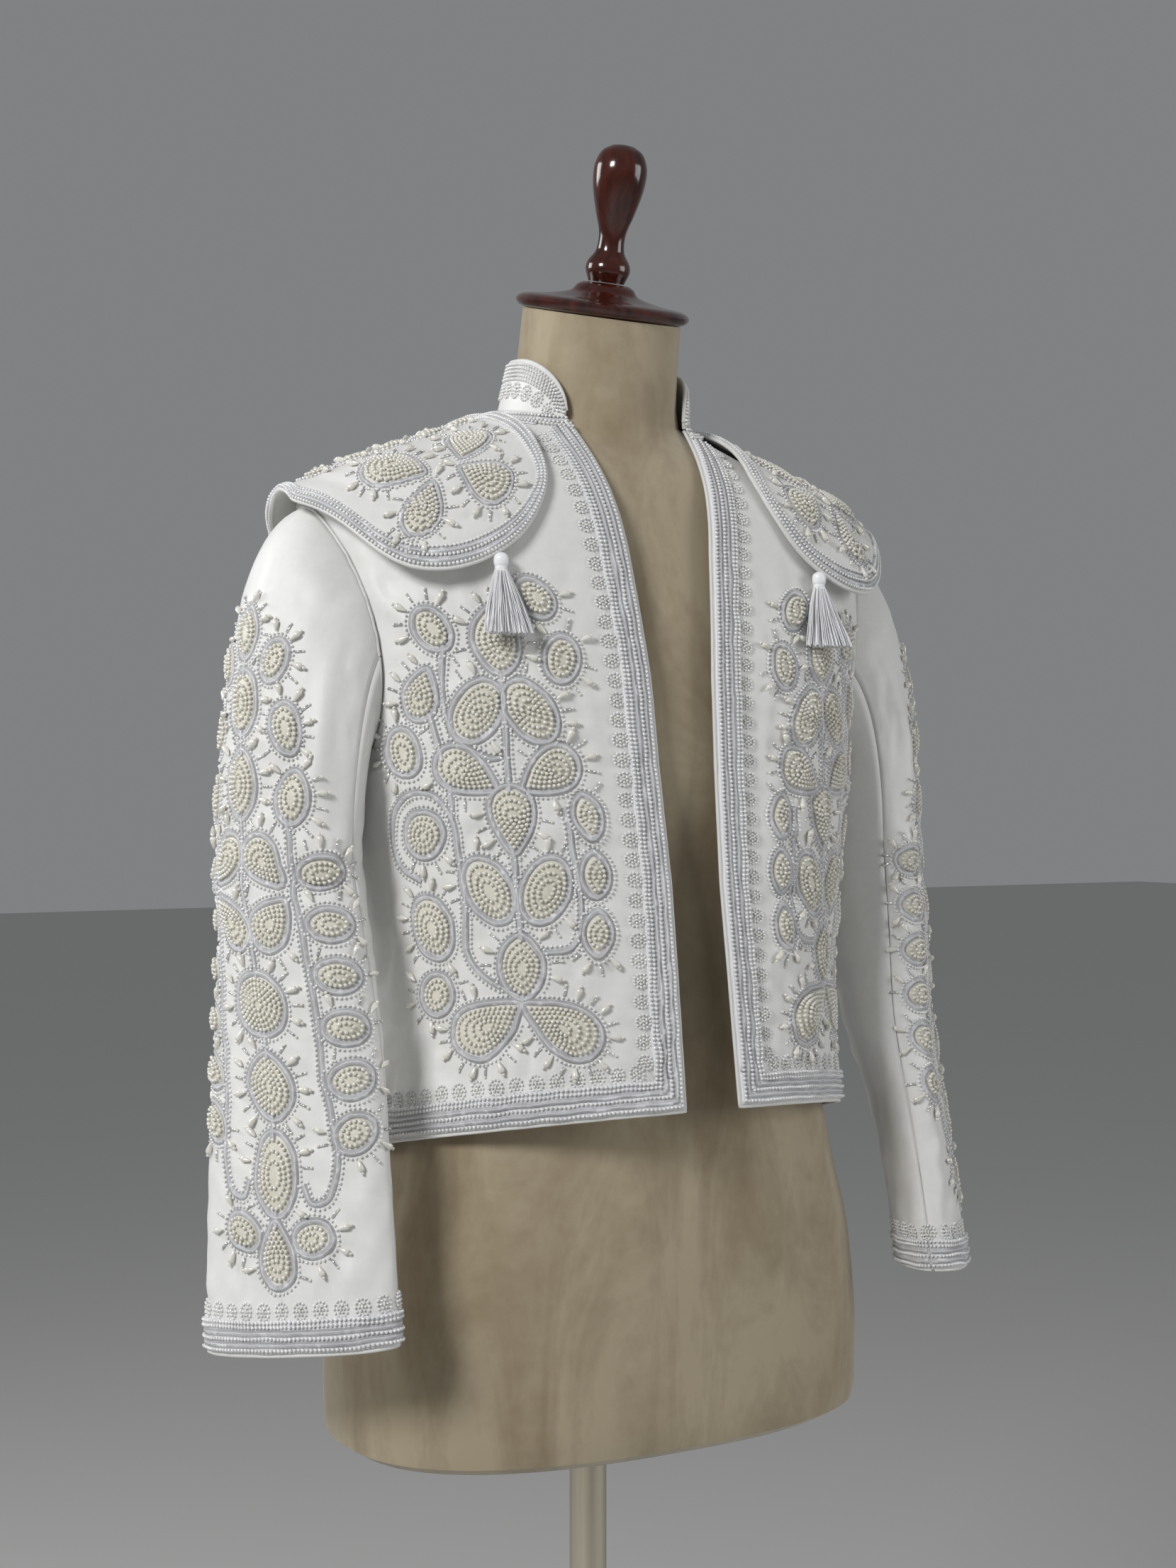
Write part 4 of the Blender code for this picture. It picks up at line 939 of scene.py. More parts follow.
class Kit:
    """The Geometry Nodes trees that string, set and lay the small parts."""

    def __init__(self) -> None:
        """Build each tree once."""
        self.seed_row = self.build_bead_row(is_pearl=False)
        self.pearl_row = self.build_bead_row(is_pearl=True)
        self.rosette_row = self.build_rosette_row()
        self.ribbon = self.build_ribbon()
        self.drop = self.build_single(is_drop=True)
        self.bugle = self.build_single(is_drop=False)

    @staticmethod
    def facing_out(sketch: NodeSketch, forward: bpy.types.NodeSocket) -> bpy.types.NodeSocket:
        """A rotation with Z out of the cloth and X along a direction.

        Args:
            sketch: The tree.
            forward: The direction for X.

        Returns:
            The rotation.
        """
        outward = sketch.geo("InputNamedAttribute", {"data_type": "FLOAT_VECTOR"}, Name="outward")
        return sketch.add("FunctionNodeAxesToRotation", {"primary_axis": "Z", "secondary_axis": "X"},
                          Primary_Axis=outward.outputs[0], Secondary_Axis=forward).outputs[0]

    @staticmethod
    def end(sketch: NodeSketch, out: bpy.types.Node, shape: bpy.types.NodeSocket,
            material: bpy.types.NodeSocket | None) -> bpy.types.NodeTree:
        """Realize, smooth and dress the result.

        Args:
            sketch: The tree.
            out: Its output node.
            shape: The geometry.
            material: The material, or None where its parts have theirs.

        Returns:
            The finished tree.
        """
        real = sketch.geo("RealizeInstances", Geometry=shape)
        smooth = sketch.geo("SetShadeSmooth", Geometry=real.outputs[0])
        last = smooth.outputs[0]
        if material is not None:
            last = sketch.geo("SetMaterial", Geometry=last, Material=material).outputs[0]
        sketch.tree.links.new(last, out.inputs["Geometry"])
        return sketch.tree

    @classmethod
    def build_bead_row(cls, is_pearl: bool) -> bpy.types.NodeTree:
        """Beads strung along lines on the cloth.

        Args:
            is_pearl: True for round pearls, False for small seed beads with fewer faces.

        Returns:
            The tree.
        """
        sketch, given, out = new_tree("GeometryNodeTree", "pearl_row" if is_pearl else "seed_row", (
            ("Geometry", "Geometry", None), ("Pitch", "Float", 0.0028), ("Width", "Float", 0.0021),
            ("Height", "Float", 0.0018), ("Variation", "Float", 0.08), ("Seed", "Int", 1),
            ("Material", "Material", None)), (("Geometry", "Geometry"),))
        line = sketch.geo("MeshToCurve", Mesh=given["Geometry"])
        spaced = sketch.geo("ResampleCurve", {"mode": "LENGTH"}, Curve=line.outputs[0],
                            Length=given["Pitch"])
        turn = cls.facing_out(sketch, sketch.geo("InputTangent").outputs[0])
        if is_pearl:
            ball = sketch.geo("MeshUVSphere", Segments=5, Rings=4, Radius=0.5)
        else:
            ball = sketch.geo("MeshIcoSphere", Radius=0.5, Subdivisions=1)
        least = sketch.math("SUBTRACT", 1.0, given["Variation"])
        most = sketch.math("ADD", 1.0, given["Variation"])
        chance = sketch.add("FunctionNodeRandomValue", {"data_type": "FLOAT"}, Min_001=least, Max_001=most,
                            Seed=given["Seed"])
        wide = sketch.math("MULTIPLY", given["Width"], chance.outputs[1])
        size = sketch.add("ShaderNodeCombineXYZ", X=wide, Y=wide, Z=given["Height"])
        beads = sketch.geo("InstanceOnPoints", Points=spaced.outputs[0],
                           Instance=ball.outputs[0], Rotation=turn, Scale=size.outputs[0])
        return cls.end(sketch, out, beads.outputs[0], given["Material"])

    @classmethod
    def build_rosette_row(cls) -> bpy.types.NodeTree:
        """Oval daisies of seed beads along lines on the cloth."""
        sketch, given, out = new_tree("GeometryNodeTree", "rosette_row", (
            ("Geometry", "Geometry", None), ("Pitch", "Float", 0.0132), ("Length", "Float", 0.0092),
            ("Width", "Float", 0.0108), ("Outer Beads", "Int", 12), ("Inner Beads", "Int", 6),
            ("Bead", "Float", 0.0022), ("Material", "Material", None), ("Centre", "Material", None)),
            (("Geometry", "Geometry"),))
        line = sketch.geo("MeshToCurve", Mesh=given["Geometry"])
        spaced = sketch.geo("ResampleCurve", {"mode": "LENGTH"}, Curve=line.outputs[0],
                            Length=given["Pitch"])
        turn = cls.facing_out(sketch, sketch.geo("InputTangent").outputs[0])
        half = sketch.math("MULTIPLY", given["Bead"], 0.5)
        ball = sketch.geo("MeshIcoSphere", Radius=half, Subdivisions=1)
        joined = sketch.geo("JoinGeometry")
        for count, reach in (("Outer Beads", 0.5), ("Inner Beads", 0.24)):
            ring = sketch.geo("MeshCircle", Vertices=given[count], Radius=1.0)
            stretch = sketch.add("ShaderNodeCombineXYZ",
                                 X=sketch.math("MULTIPLY", given["Length"], reach),
                                 Y=sketch.math("MULTIPLY", given["Width"], reach), Z=1.0)
            oval = sketch.geo("Transform", Geometry=ring.outputs[0], Scale=stretch.outputs[0])
            beads = sketch.geo("InstanceOnPoints", Points=oval.outputs[0],
                               Instance=ball.outputs[0])
            dressed = sketch.geo("SetMaterial", Geometry=beads.outputs[0],
                                 Material=given["Material"])
            sketch.tree.links.new(dressed.outputs[0], joined.inputs[0])
        middle = sketch.geo("MeshUVSphere", Segments=6, Rings=4, Radius=half)
        long_bead = sketch.geo("Transform", Geometry=middle.outputs[0], Scale=(0.95, 2.0, 1.0))
        dressed = sketch.geo("SetMaterial", Geometry=long_bead.outputs[0],
                             Material=given["Centre"])
        sketch.tree.links.new(dressed.outputs[0], joined.inputs[0])
        rosettes = sketch.geo("InstanceOnPoints", Points=spaced.outputs[0],
                              Instance=joined.outputs[0], Rotation=turn)
        return cls.end(sketch, out, rosettes.outputs[0], None)

    @classmethod
    def build_ribbon(cls) -> bpy.types.NodeTree:
        """An oval cord along lines on the cloth."""
        sketch, given, out = new_tree("GeometryNodeTree", "ribbon", (
            ("Geometry", "Geometry", None), ("Step", "Float", 0.0034), ("Width", "Float", 0.005),
            ("Height", "Float", 0.003), ("Sides", "Int", 8), ("Material", "Material", None)),
            (("Geometry", "Geometry"),))
        line = sketch.geo("MeshToCurve", Mesh=given["Geometry"])
        spaced = sketch.geo("ResampleCurve", {"mode": "LENGTH"}, Curve=line.outputs[0],
                            Length=given["Step"])
        outward = sketch.geo("InputNamedAttribute", {"data_type": "FLOAT_VECTOR"}, Name="outward")
        upright = sketch.geo("SetCurveNormal", {"mode": "FREE"}, Curve=spaced.outputs[0],
                             Normal=outward.outputs[0])
        along = sketch.geo("StoreNamedAttribute", {"data_type": "FLOAT", "domain": "POINT"},
                           Geometry=upright.outputs[0], Name="along",
                           Value=sketch.geo("SplineParameter").outputs["Length"])
        ring = sketch.geo("CurvePrimitiveCircle", {"mode": "RADIUS"},
                          Resolution=given["Sides"], Radius=0.5)
        size = sketch.add("ShaderNodeCombineXYZ", X=given["Height"], Y=given["Width"], Z=1.0)
        oval = sketch.geo("Transform", Geometry=ring.outputs[0], Scale=size.outputs[0])
        marked = sketch.geo("StoreNamedAttribute", {"data_type": "FLOAT", "domain": "POINT"},
                            Geometry=oval.outputs[0], Name="round",
                            Value=sketch.geo("SplineParameter").outputs["Factor"])
        cord = sketch.geo("CurveToMesh", Curve=along.outputs[0],
                          Profile_Curve=marked.outputs[0], Fill_Caps=True)
        first = sketch.geo("InputNamedAttribute", {"data_type": "FLOAT"}, Name="round")
        second = sketch.geo("InputNamedAttribute", {"data_type": "FLOAT"}, Name="along")
        pair = sketch.add("ShaderNodeCombineXYZ", X=first.outputs[0], Y=second.outputs[0])
        kept = sketch.geo("StoreNamedAttribute", {"data_type": "FLOAT_VECTOR", "domain": "POINT"},
                          Geometry=cord.outputs[0], Name="ribbon", Value=pair.outputs[0])
        return cls.end(sketch, out, kept.outputs[0], given["Material"])

    @classmethod
    def build_single(cls, is_drop: bool) -> bpy.types.NodeTree:
        """A long bead with a small pearl at its far end, set at points on the cloth.

        Args:
            is_drop: True for a pearl drop, False for a glass tube.

        Returns:
            The tree.
        """
        sketch, given, out = new_tree("GeometryNodeTree", "pearl_drop" if is_drop else "glass_bugle", (
            ("Geometry", "Geometry", None), ("Length", "Float", 0.0092), ("Width", "Float", 0.0046),
            ("End Bead", "Float", 0.0024), ("Variation", "Float", 0.08), ("Seed", "Int", 1),
            ("Material", "Material", None), ("End Material", "Material", None)), (("Geometry", "Geometry"),))
        length, width = given["Length"], given["Width"]
        quarter = (0.0, math.pi / 2.0, 0.0)
        if is_drop:
            ball = sketch.geo("MeshUVSphere", Segments=7, Rings=6, Radius=0.5)
            lying = sketch.geo("Transform", Geometry=ball.outputs[0], Rotation=quarter)
            place = sketch.geo("InputPosition").outputs[0]
            split = sketch.add("ShaderNodeSeparateXYZ", Vector=place)
            taper = sketch.math("MULTIPLY_ADD", split.outputs[0], 0.75, 0.80)
            slim = sketch.add("ShaderNodeCombineXYZ", X=1.0, Y=taper, Z=taper)
            squared = sketch.math("MULTIPLY", split.outputs[0], split.outputs[0])
            shift = sketch.add("ShaderNodeCombineXYZ", X=sketch.math("MULTIPLY_ADD", squared, -0.48, 0.12))
            shaped = sketch.geo("SetPosition", Geometry=lying.outputs[0],
                                Position=sketch.vector("MULTIPLY", place, slim.outputs[0]),
                                Offset=shift.outputs[0]).outputs[0]
        else:
            tube = sketch.geo("MeshCylinder", Vertices=8, Radius=0.5, Depth=1.0)
            shaped = sketch.geo("Transform", Geometry=tube.outputs[0], Rotation=quarter).outputs[0]
        size = sketch.add("ShaderNodeCombineXYZ", X=length, Y=width, Z=width)
        sized = sketch.geo("Transform", Geometry=shaped, Scale=size.outputs[0])
        body = sketch.geo("SetMaterial", Geometry=sized.outputs[0],
                          Material=given["Material"])
        half_bead = sketch.math("MULTIPLY", given["End Bead"], 0.5)
        small = sketch.geo("MeshUVSphere", Segments=6, Rings=4, Radius=half_bead)
        reach = sketch.math("MULTIPLY_ADD", length, 0.5, sketch.math("MULTIPLY", half_bead, 0.8))
        away = sketch.add("ShaderNodeCombineXYZ", X=reach)
        moved = sketch.geo("Transform", Geometry=small.outputs[0], Translation=away.outputs[0])
        end_bead = sketch.geo("SetMaterial", Geometry=moved.outputs[0],
                              Material=given["End Material"])
        joined = sketch.geo("JoinGeometry")
        sketch.tree.links.new(body.outputs[0], joined.inputs[0])
        sketch.tree.links.new(end_bead.outputs[0], joined.inputs[0])
        forward = sketch.geo("InputNamedAttribute", {"data_type": "FLOAT_VECTOR"}, Name="forward")
        turn = cls.facing_out(sketch, forward.outputs[0])
        least = sketch.math("SUBTRACT", 1.0, given["Variation"])
        most = sketch.math("ADD", 1.0, given["Variation"])
        chance = sketch.add("FunctionNodeRandomValue", {"data_type": "FLOAT"}, Min_001=least, Max_001=most,
                            Seed=given["Seed"])
        size = sketch.add("ShaderNodeCombineXYZ", X=chance.outputs[1], Y=chance.outputs[1],
                          Z=chance.outputs[1])
        spots = sketch.geo("MeshToPoints", Mesh=given["Geometry"])
        beads = sketch.geo("InstanceOnPoints", Points=spots.outputs[0],
                           Instance=joined.outputs[0], Rotation=turn, Scale=size.outputs[0])
        return cls.end(sketch, out, beads.outputs[0], None)


def marked_mesh(points: np.ndarray, edges: list, layers: dict[str, np.ndarray]) -> bpy.types.Mesh:
    """A mesh of points and edges with vectors on its points.

    Args:
        points: The points.
        edges: Pairs of point numbers.
        layers: Vectors by name.

    Returns:
        The mesh.
    """
    mesh = bpy.data.meshes.new("guide")
    mesh.from_pydata(points.tolist(), edges, [])
    for name, values in layers.items():
        layer = mesh.attributes.new(name, "FLOAT_VECTOR", "POINT")
        layer.data.foreach_set("vector", np.ascontiguousarray(values, dtype=np.float32).reshape(-1))
    return mesh


def grown(name: str, guide: bpy.types.Mesh, tree: bpy.types.NodeTree, values: dict) -> bpy.types.Object:
    """Run a tree on a guide and keep the result as a plain mesh.

    Args:
        name: The piece's name.
        guide: The lines or points that it follows.
        tree: The Geometry Nodes tree.
        values: The tree's inputs by name.

    Returns:
        The piece.
    """
    helper = bpy.data.objects.new("guide", guide)
    bpy.context.scene.collection.objects.link(helper)
    modifier = helper.modifiers.new("grow", "NODES")
    modifier.node_group = tree
    for item in tree.interface.items_tree:
        if item.item_type == "SOCKET" and item.in_out == "INPUT" and item.name in values:
            modifier[item.identifier] = values[item.name]
    evaluated = helper.evaluated_get(bpy.context.evaluated_depsgraph_get())
    mesh = bpy.data.meshes.new_from_object(evaluated)
    bpy.data.objects.remove(helper)
    bpy.data.meshes.remove(guide)
    mesh.name = name
    thing = bpy.data.objects.new(name, mesh)
    bpy.context.scene.collection.objects.link(thing)
    return thing


# Embroidery in flat coordinates

class Shape(Enum):
    """Outlines of an applique petal."""

    OVAL = 0.0
    DROP = 1.0
    LEAF = 2.0


@dataclass(frozen=True)
class Petal:
    """A padded petal: its middle, half sizes, lean from upright in degrees, and outline."""

    across: float
    height: float
    half_length: float
    half_width: float
    lean: float
    shape: Shape = Shape.OVAL

    def outline(self, size: float = 1.0, grow: float = 0.0, count: int = 72) -> np.ndarray:
        """Points round the petal.

        Args:
            size: A scale about the middle.
            grow: A distance outside the scaled outline.
            count: How many points.

        Returns:
            Flat places, anticlockwise.
        """
        turn = np.linspace(0.0, 2.0 * math.pi, count, endpoint=False)
        wide = np.sin(turn)
        if self.shape is Shape.DROP:
            wide = wide * np.abs(np.sin(0.5 * turn)) ** 1.1 * 1.25
        elif self.shape is Shape.LEAF:
            wide = wide * np.abs(np.sin(turn)) ** 0.55
        local = np.column_stack((wide * self.half_width, np.cos(turn) * self.half_length)) * size
        if grow:
            tangent = np.roll(local, -1, axis=0) - np.roll(local, 1, axis=0)
            normal = np.column_stack((-tangent[:, 1], tangent[:, 0]))
            normal /= np.maximum(np.linalg.norm(normal, axis=1, keepdims=True), 1e-9)
            local = local + normal * grow
        lean = math.radians(self.lean)
        spin = np.array(((math.cos(lean), math.sin(lean)), (-math.sin(lean), math.cos(lean))))
        return local @ spin + np.array((self.across, self.height))


def pull_round(path: np.ndarray) -> np.ndarray:
    """Close a ring of points by repeating its first."""
    return np.vstack((path, path[:1]))


@dataclass
class Pattern:
    """Everything that is sewn on one panel, in that panel's flat coordinates."""

    petals: Sequence[Petal] = ()
    stems: Sequence[Sequence[tuple[float, float]]] = ()
    ribbon: float = 0.0054
    pad: float = 0.0022
    pearl_pitch: float = 0.0034
    ray_gap: float = 0.0100
    ray_reach: float = 0.0058
    limits: tuple[float, float, float, float] = (-1.0, 1.0, -1.0, 2.0)

    def dome(self, size: float) -> float:
        """The pad's height at a share of the way from its middle to its outline."""
        return self.pad * max(0.0, 1.0 - size**2) ** 0.5

    def pearl_rings(self, petal: Petal) -> list[tuple[float, float]]:
        """Sizes and heights of a petal's rings of pearls, from the outline in."""
        rings = []
        size = 1.0 - 0.45 * self.pearl_pitch / petal.half_width
        while size * petal.half_width > 0.5 * self.pearl_pitch:
            rings.append((size, self.dome(size)))
            size -= self.pearl_pitch / petal.half_width
        return rings

    def middles(self) -> list[tuple[np.ndarray, np.ndarray]]:
        """Places and directions of the long beads in the middle of the petals."""
        leans = [math.radians(petal.lean) for petal in self.petals]
        return [(np.array((petal.across, petal.height)), np.array((-math.sin(lean), math.cos(lean))))
                for petal, lean in zip(self.petals, leans)]

    def edge_lines(self) -> list[np.ndarray]:
        """The lines that the small edge beads follow, where no petal covers them."""
        reach = self.ribbon + 0.0011
        lines = [pull_round(petal.outline(grow=reach, count=120)) for petal in self.petals]
        for stem in self.stems:
            middle = smooth_line(stem, 0.002)
            tangent = np.gradient(middle, axis=0)
            normal = np.column_stack((-tangent[:, 1], tangent[:, 0]))
            normal /= np.linalg.norm(normal, axis=1, keepdims=True)
            lines.extend(middle + normal * side * (0.5 * self.ribbon + 0.0009) for side in (-1.0, 1.0))
        kept = []
        for index, line in enumerate(lines):
            open_run: list[np.ndarray] = []
            for point in line:
                if self.covered(point, index, self.ribbon * 0.85):
                    if len(open_run) > 2:
                        kept.append(np.array(open_run))
                    open_run = []
                else:
                    open_run.append(point)
            if len(open_run) > 2:
                kept.append(np.array(open_run))
        return kept

    def covered(self, point: np.ndarray, own: int, margin: float) -> bool:
        """True where another petal, or its ribbon, lies over a place."""
        for index, petal in enumerate(self.petals):
            if index == own:
                continue
            lean = math.radians(petal.lean)
            dx, dz = point[0] - petal.across, point[1] - petal.height
            along = dz * math.cos(lean) - dx * math.sin(lean)
            beside = dx * math.cos(lean) + dz * math.sin(lean)
            reach = (along / (petal.half_length + margin)) ** 2 + (beside / (petal.half_width + margin)) ** 2
            if reach < 1.0:
                return True
        return False

    def rays(self) -> list[tuple[np.ndarray, np.ndarray]]:
        """Places and directions of the long beads that stand round the petals."""
        found: list[tuple[np.ndarray, np.ndarray]] = []
        stems = [smooth_line(stem, 0.004) for stem in self.stems]
        low_x, high_x, low_z, high_z = self.limits
        for index, petal in enumerate(self.petals):
            ring = petal.outline(grow=self.ribbon + self.ray_reach, count=160)
            inner = petal.outline(count=160)
            travelled = lengths_along(pull_round(ring))
            for start in np.arange(0.0, travelled[-1] - 0.5 * self.ray_gap, self.ray_gap):
                k = int(np.searchsorted(travelled, start)) % len(ring)
                place, away = ring[k], ring[k] - inner[k]
                if not (low_x < place[0] < high_x and low_z < place[1] < high_z):
                    continue
                if self.covered(place, index, self.ribbon + 0.0035):
                    continue
                if any(np.linalg.norm(place - other) < 0.0074 for other, _ in found):
                    continue
                if any(np.linalg.norm(stem - place, axis=1).min() < 0.0062 for stem in stems):
                    continue
                found.append((place, away / np.linalg.norm(away)))
        return found


@dataclass(frozen=True)
class BeadSize:
    """One kind of round bead: its spacing, width and height."""

    pitch: float
    width: float
    height: float


SEED = BeadSize(0.0030, 0.0027, 0.0027)
EDGE_SEED = BeadSize(0.0033, 0.0023, 0.0023)
PEARL = BeadSize(0.0036, 0.0031, 0.0029)


class Workroom:
    """Dresses panels: it holds the materials and the trees, and makes both sides of each piece."""

    def __init__(self) -> None:
        """Make every finish and every tree."""
        effects = Effects()
        self.materials = {finish.name: finish.material(effects) for finish in FINISHES}
        self.slots = {finish.name: finish.slot for finish in FINISHES}
        self.kit = Kit()
        self.seed = 0

    def lines(self, name: str, tree: bpy.types.NodeTree, laid: Sequence[Laid], side: str, finish: str,
              values: dict) -> bpy.types.Object:
        """Grow a piece along lines on the cloth.

        Args:
            name: The piece's name.
            tree: What grows.
            laid: The lines on the left half.
            side: "right" for the mirror image.
            finish: The finish's name.
            values: More inputs of the tree.

        Returns:
            The piece.
        """
        points, outward, edges, start = [], [], [], 0
        for line in laid:
            line = line.mirrored() if side == "right" else line
            count = len(line.points)
            points.append(line.points)
            outward.append(line.outward)
            closed = np.linalg.norm(line.points[0] - line.points[-1]) < 1e-6
            last = count - 1 if closed else count
            if closed:
                points[-1], outward[-1] = line.points[:-1], line.outward[:-1]
            edges.extend((start + k, start + k + 1) for k in range(last - 1))
            if closed:
                edges.append((start + last - 1, start))
            start += last
        guide = marked_mesh(np.vstack(points), edges, {"outward": np.vstack(outward)})
        self.seed += 1
        thing = grown(name, guide, tree, {"Material": self.materials[finish], "Seed": self.seed, **values})
        return finish_piece(thing, self.slots[finish])

    def bead_rows(self, name: str, laid: Sequence[Laid], side: str, bead: BeadSize, finish: str
                  ) -> bpy.types.Object:
        """Beads along lines, seated on the cloth."""
        seated = [line.raised(0.35 * bead.height) for line in laid]
        tree = self.kit.pearl_row if bead is PEARL else self.kit.seed_row
        return self.lines(name, tree, seated, side, finish, {
            "Pitch": bead.pitch, "Width": bead.width, "Height": bead.height})

    def ribbons(self, name: str, laid: Sequence[Laid], side: str, width: float, height: float, finish: str,
                sides: int = 6, step: float = 0.0034) -> bpy.types.Object:
        """Cords along lines, half sunk in the cloth."""
        return self.lines(name, self.kit.ribbon, laid, side, finish, {
            "Width": width, "Height": height, "Sides": sides, "Step": step})

    def rosettes(self, name: str, laid: Sequence[Laid], side: str, pitch: float) -> bpy.types.Object:
        """Daisies along lines."""
        raised = [line.raised(0.0007) for line in laid]
        return self.lines(name, self.kit.rosette_row, raised, side, "seed_bead", {
            "Pitch": pitch, "Centre": self.materials["ivory_pearl"]})

    def long_beads(self, name: str, tree: bpy.types.NodeTree, spots: Laid, forward: np.ndarray, side: str,
                   finish: str, values: dict) -> bpy.types.Object:
        """Long beads at places on the cloth.

        Args:
            name: The piece's name.
            tree: The bead.
            spots: The places on the left half.
            forward: The direction of each bead.
            side: "right" for the mirror image.
            finish: The finish's name.
            values: The bead's sizes.

        Returns:
            The piece.
        """
        if side == "right":
            spots, forward = spots.mirrored(), forward * np.array((-1.0, 1.0, 1.0))
        guide = marked_mesh(spots.points, [], {"outward": spots.outward, "forward": forward})
        self.seed += 1
        thing = grown(name, guide, tree, {"Material": self.materials[finish], "Seed": self.seed,
                                          "End Material": self.materials["ivory_pearl"], **values})
        return finish_piece(thing, self.slots[finish])

    def pads(self, name: str, panel: Panel, pattern: Pattern, side: str) -> bpy.types.Object:
        """The domed grounds of the petals.

        Args:
            name: The piece's name.
            panel: The cloth.
            pattern: What is sewn on it.
            side: "right" for the mirror image.

        Returns:
            One piece with a closed dome for each petal.
        """
        shape = bmesh.new()
        sizes = (1.0, 0.86, 0.66, 0.4)
        for petal in pattern.petals:
            places = [petal.outline(size, count=26) for size in sizes]
            laid = [panel.lay(flat).raised(pattern.dome(size)) for flat, size in zip(places, sizes)]
            foot = panel.lay(places[0]).raised(-0.0004)
            middle = panel.lay(np.array([[petal.across, petal.height]]))
            loops = [foot, *laid]
            if side == "right":
                loops = [loop.mirrored() for loop in loops]
                middle = middle.mirrored()
            rings = [[shape.verts.new(point) for point in loop.points] for loop in loops]
            crown = shape.verts.new(middle.raised(pattern.pad).points[0])
            root = shape.verts.new(middle.raised(-0.0004).points[0])
            count = len(rings[0])
            for k in range(count):
                after = (k + 1) % count
                shape.faces.new((crown, rings[-1][k], rings[-1][after]))
                shape.faces.new((root, rings[0][after], rings[0][k]))
                for lower, upper in zip(rings, rings[1:]):
                    shape.faces.new((lower[k], lower[after], upper[after], upper[k]))
        bmesh.ops.recalc_face_normals(shape, faces=shape.faces)
        mesh = bpy.data.meshes.new(name)
        shape.to_mesh(mesh)
        shape.free()
        return finish_piece(new_object(name, mesh, self.materials["petal_ground"], 60.0), "satin")

    def embroider(self, label: str, panel: Panel, pattern: Pattern, side: str) -> list[bpy.types.Object]:
        """Sew a pattern on a panel.

        Args:
            label: The start of the pieces' names.
            panel: The cloth.
            pattern: What is sewn.
            side: Which half.

        Returns:
            The pieces.
        """
        pieces = [self.pads(f"{label}_pads_{side}", panel, pattern, side)]
        outlines = [panel.lay(pull_round(petal.outline(grow=0.5 * pattern.ribbon))) for petal in pattern.petals]
        stems = [panel.lay(smooth_line(stem, 0.003)) for stem in pattern.stems]
        pieces.append(self.ribbons(f"{label}_ribbons_{side}", [*outlines, *stems], side, pattern.ribbon, 0.0024,
                                   "corded_outline"))
        pearls = []
        for petal in pattern.petals:
            pearls.extend(panel.lay(pull_round(petal.outline(size))).raised(lift)
                          for size, lift in pattern.pearl_rings(petal))
        pieces.append(self.bead_rows(f"{label}_pearls_{side}", pearls, side, PEARL, "ivory_pearl"))
        edges = [panel.lay(line) for line in pattern.edge_lines()]
        pieces.append(self.bead_rows(f"{label}_edge_beads_{side}", edges, side, EDGE_SEED, "seed_bead"))
        rays = pattern.rays()
        for kind, tree, finish, sizes in (
                (0, self.kit.drop, "ivory_pearl", {"Length": 0.0092, "Width": 0.0054, "End Bead": 0.0026}),
                (1, self.kit.bugle, "glass_tube", {"Length": 0.0058, "Width": 0.0018, "End Bead": 0.0024})):
            chosen = rays[kind::2]
            if not chosen:
                continue
            if kind == 1:
                chosen = chosen + pattern.middles()
            places = np.array([place for place, _ in chosen])
            away = np.array([direction for _, direction in chosen])
            spots = panel.lay(places)
            ahead = panel.lay(places + 0.002 * away).points - panel.lay(places - 0.002 * away).points
            lift = 0.42 * sizes["Width"]
            pieces.append(self.long_beads(f"{label}_{'drops' if kind == 0 else 'bugles'}_{side}", tree,
                                          spots.raised(lift), ahead, side, finish, sizes))
        return pieces


# Sub-assemblies

def declare(piece: bpy.types.Object, panel: Panel) -> None:
    """Log the size of the cut that a piece of cloth was made from.

    Args:
        piece: The cloth.
        panel: The panel that it was made from.
    """
    width, length, area = panel.flat_size()
    LOG.info("%s is cut %.3f by %.3f m, %.4f square metres", piece.name, width, length, area)


class BorderRow(NamedTuple):
    """A row of a border: its distance from the edge, and what runs there."""

    inset: float
    kind: str


BORDER = (BorderRow(0.0034, "seed"), BorderRow(0.0070, "cord"), BorderRow(0.0106, "seed"),
          BorderRow(0.0144, "cord"), BorderRow(0.0182, "seed"), BorderRow(0.0212, "seed"),
          BorderRow(0.0284, "rosette"))
NECK_BORDER = (BorderRow(0.0030, "seed"), BorderRow(0.0066, "cord"), BorderRow(0.0102, "seed"),
               BorderRow(0.0134, "seed"))
BORDER_GROUND = (0.0016, 0.0228)
ROSETTE_PITCH = 0.0138
PIPING = 0.0026


@dataclass
class Border:
    """The braid and bead rows along an edge."""

    room: Workroom
    label: str

    def sew(self, lines: Callable[[float], list[Laid]], side: str, rows: Sequence[BorderRow] = BORDER
            ) -> list[bpy.types.Object]:
        """Sew the rows.

        Args:
            lines: Gives the lines at a distance from the edge.
            side: Which half.
            rows: The rows.

        Returns:
            The pieces.
        """
        seeds, cords, rosettes = [], [], []
        for row in rows:
            target = {"seed": seeds, "cord": cords, "rosette": rosettes}[row.kind]
            target.extend(lines(row.inset))
        top = SEAM + BRAID
        pieces = [self.room.bead_rows(f"{self.label}_seed_rows_{side}", [line.raised(top) for line in seeds], side,
                                      SEED, "seed_bead")]
        if cords:
            pieces.append(self.room.ribbons(f"{self.label}_cords_{side}", [line.raised(top) for line in cords],
                                            side, 0.0050, 0.0018, "corded_outline"))
        if rosettes:
            pieces.append(self.room.rosettes(f"{self.label}_rosettes_{side}", rosettes, side, ROSETTE_PITCH))
        return pieces


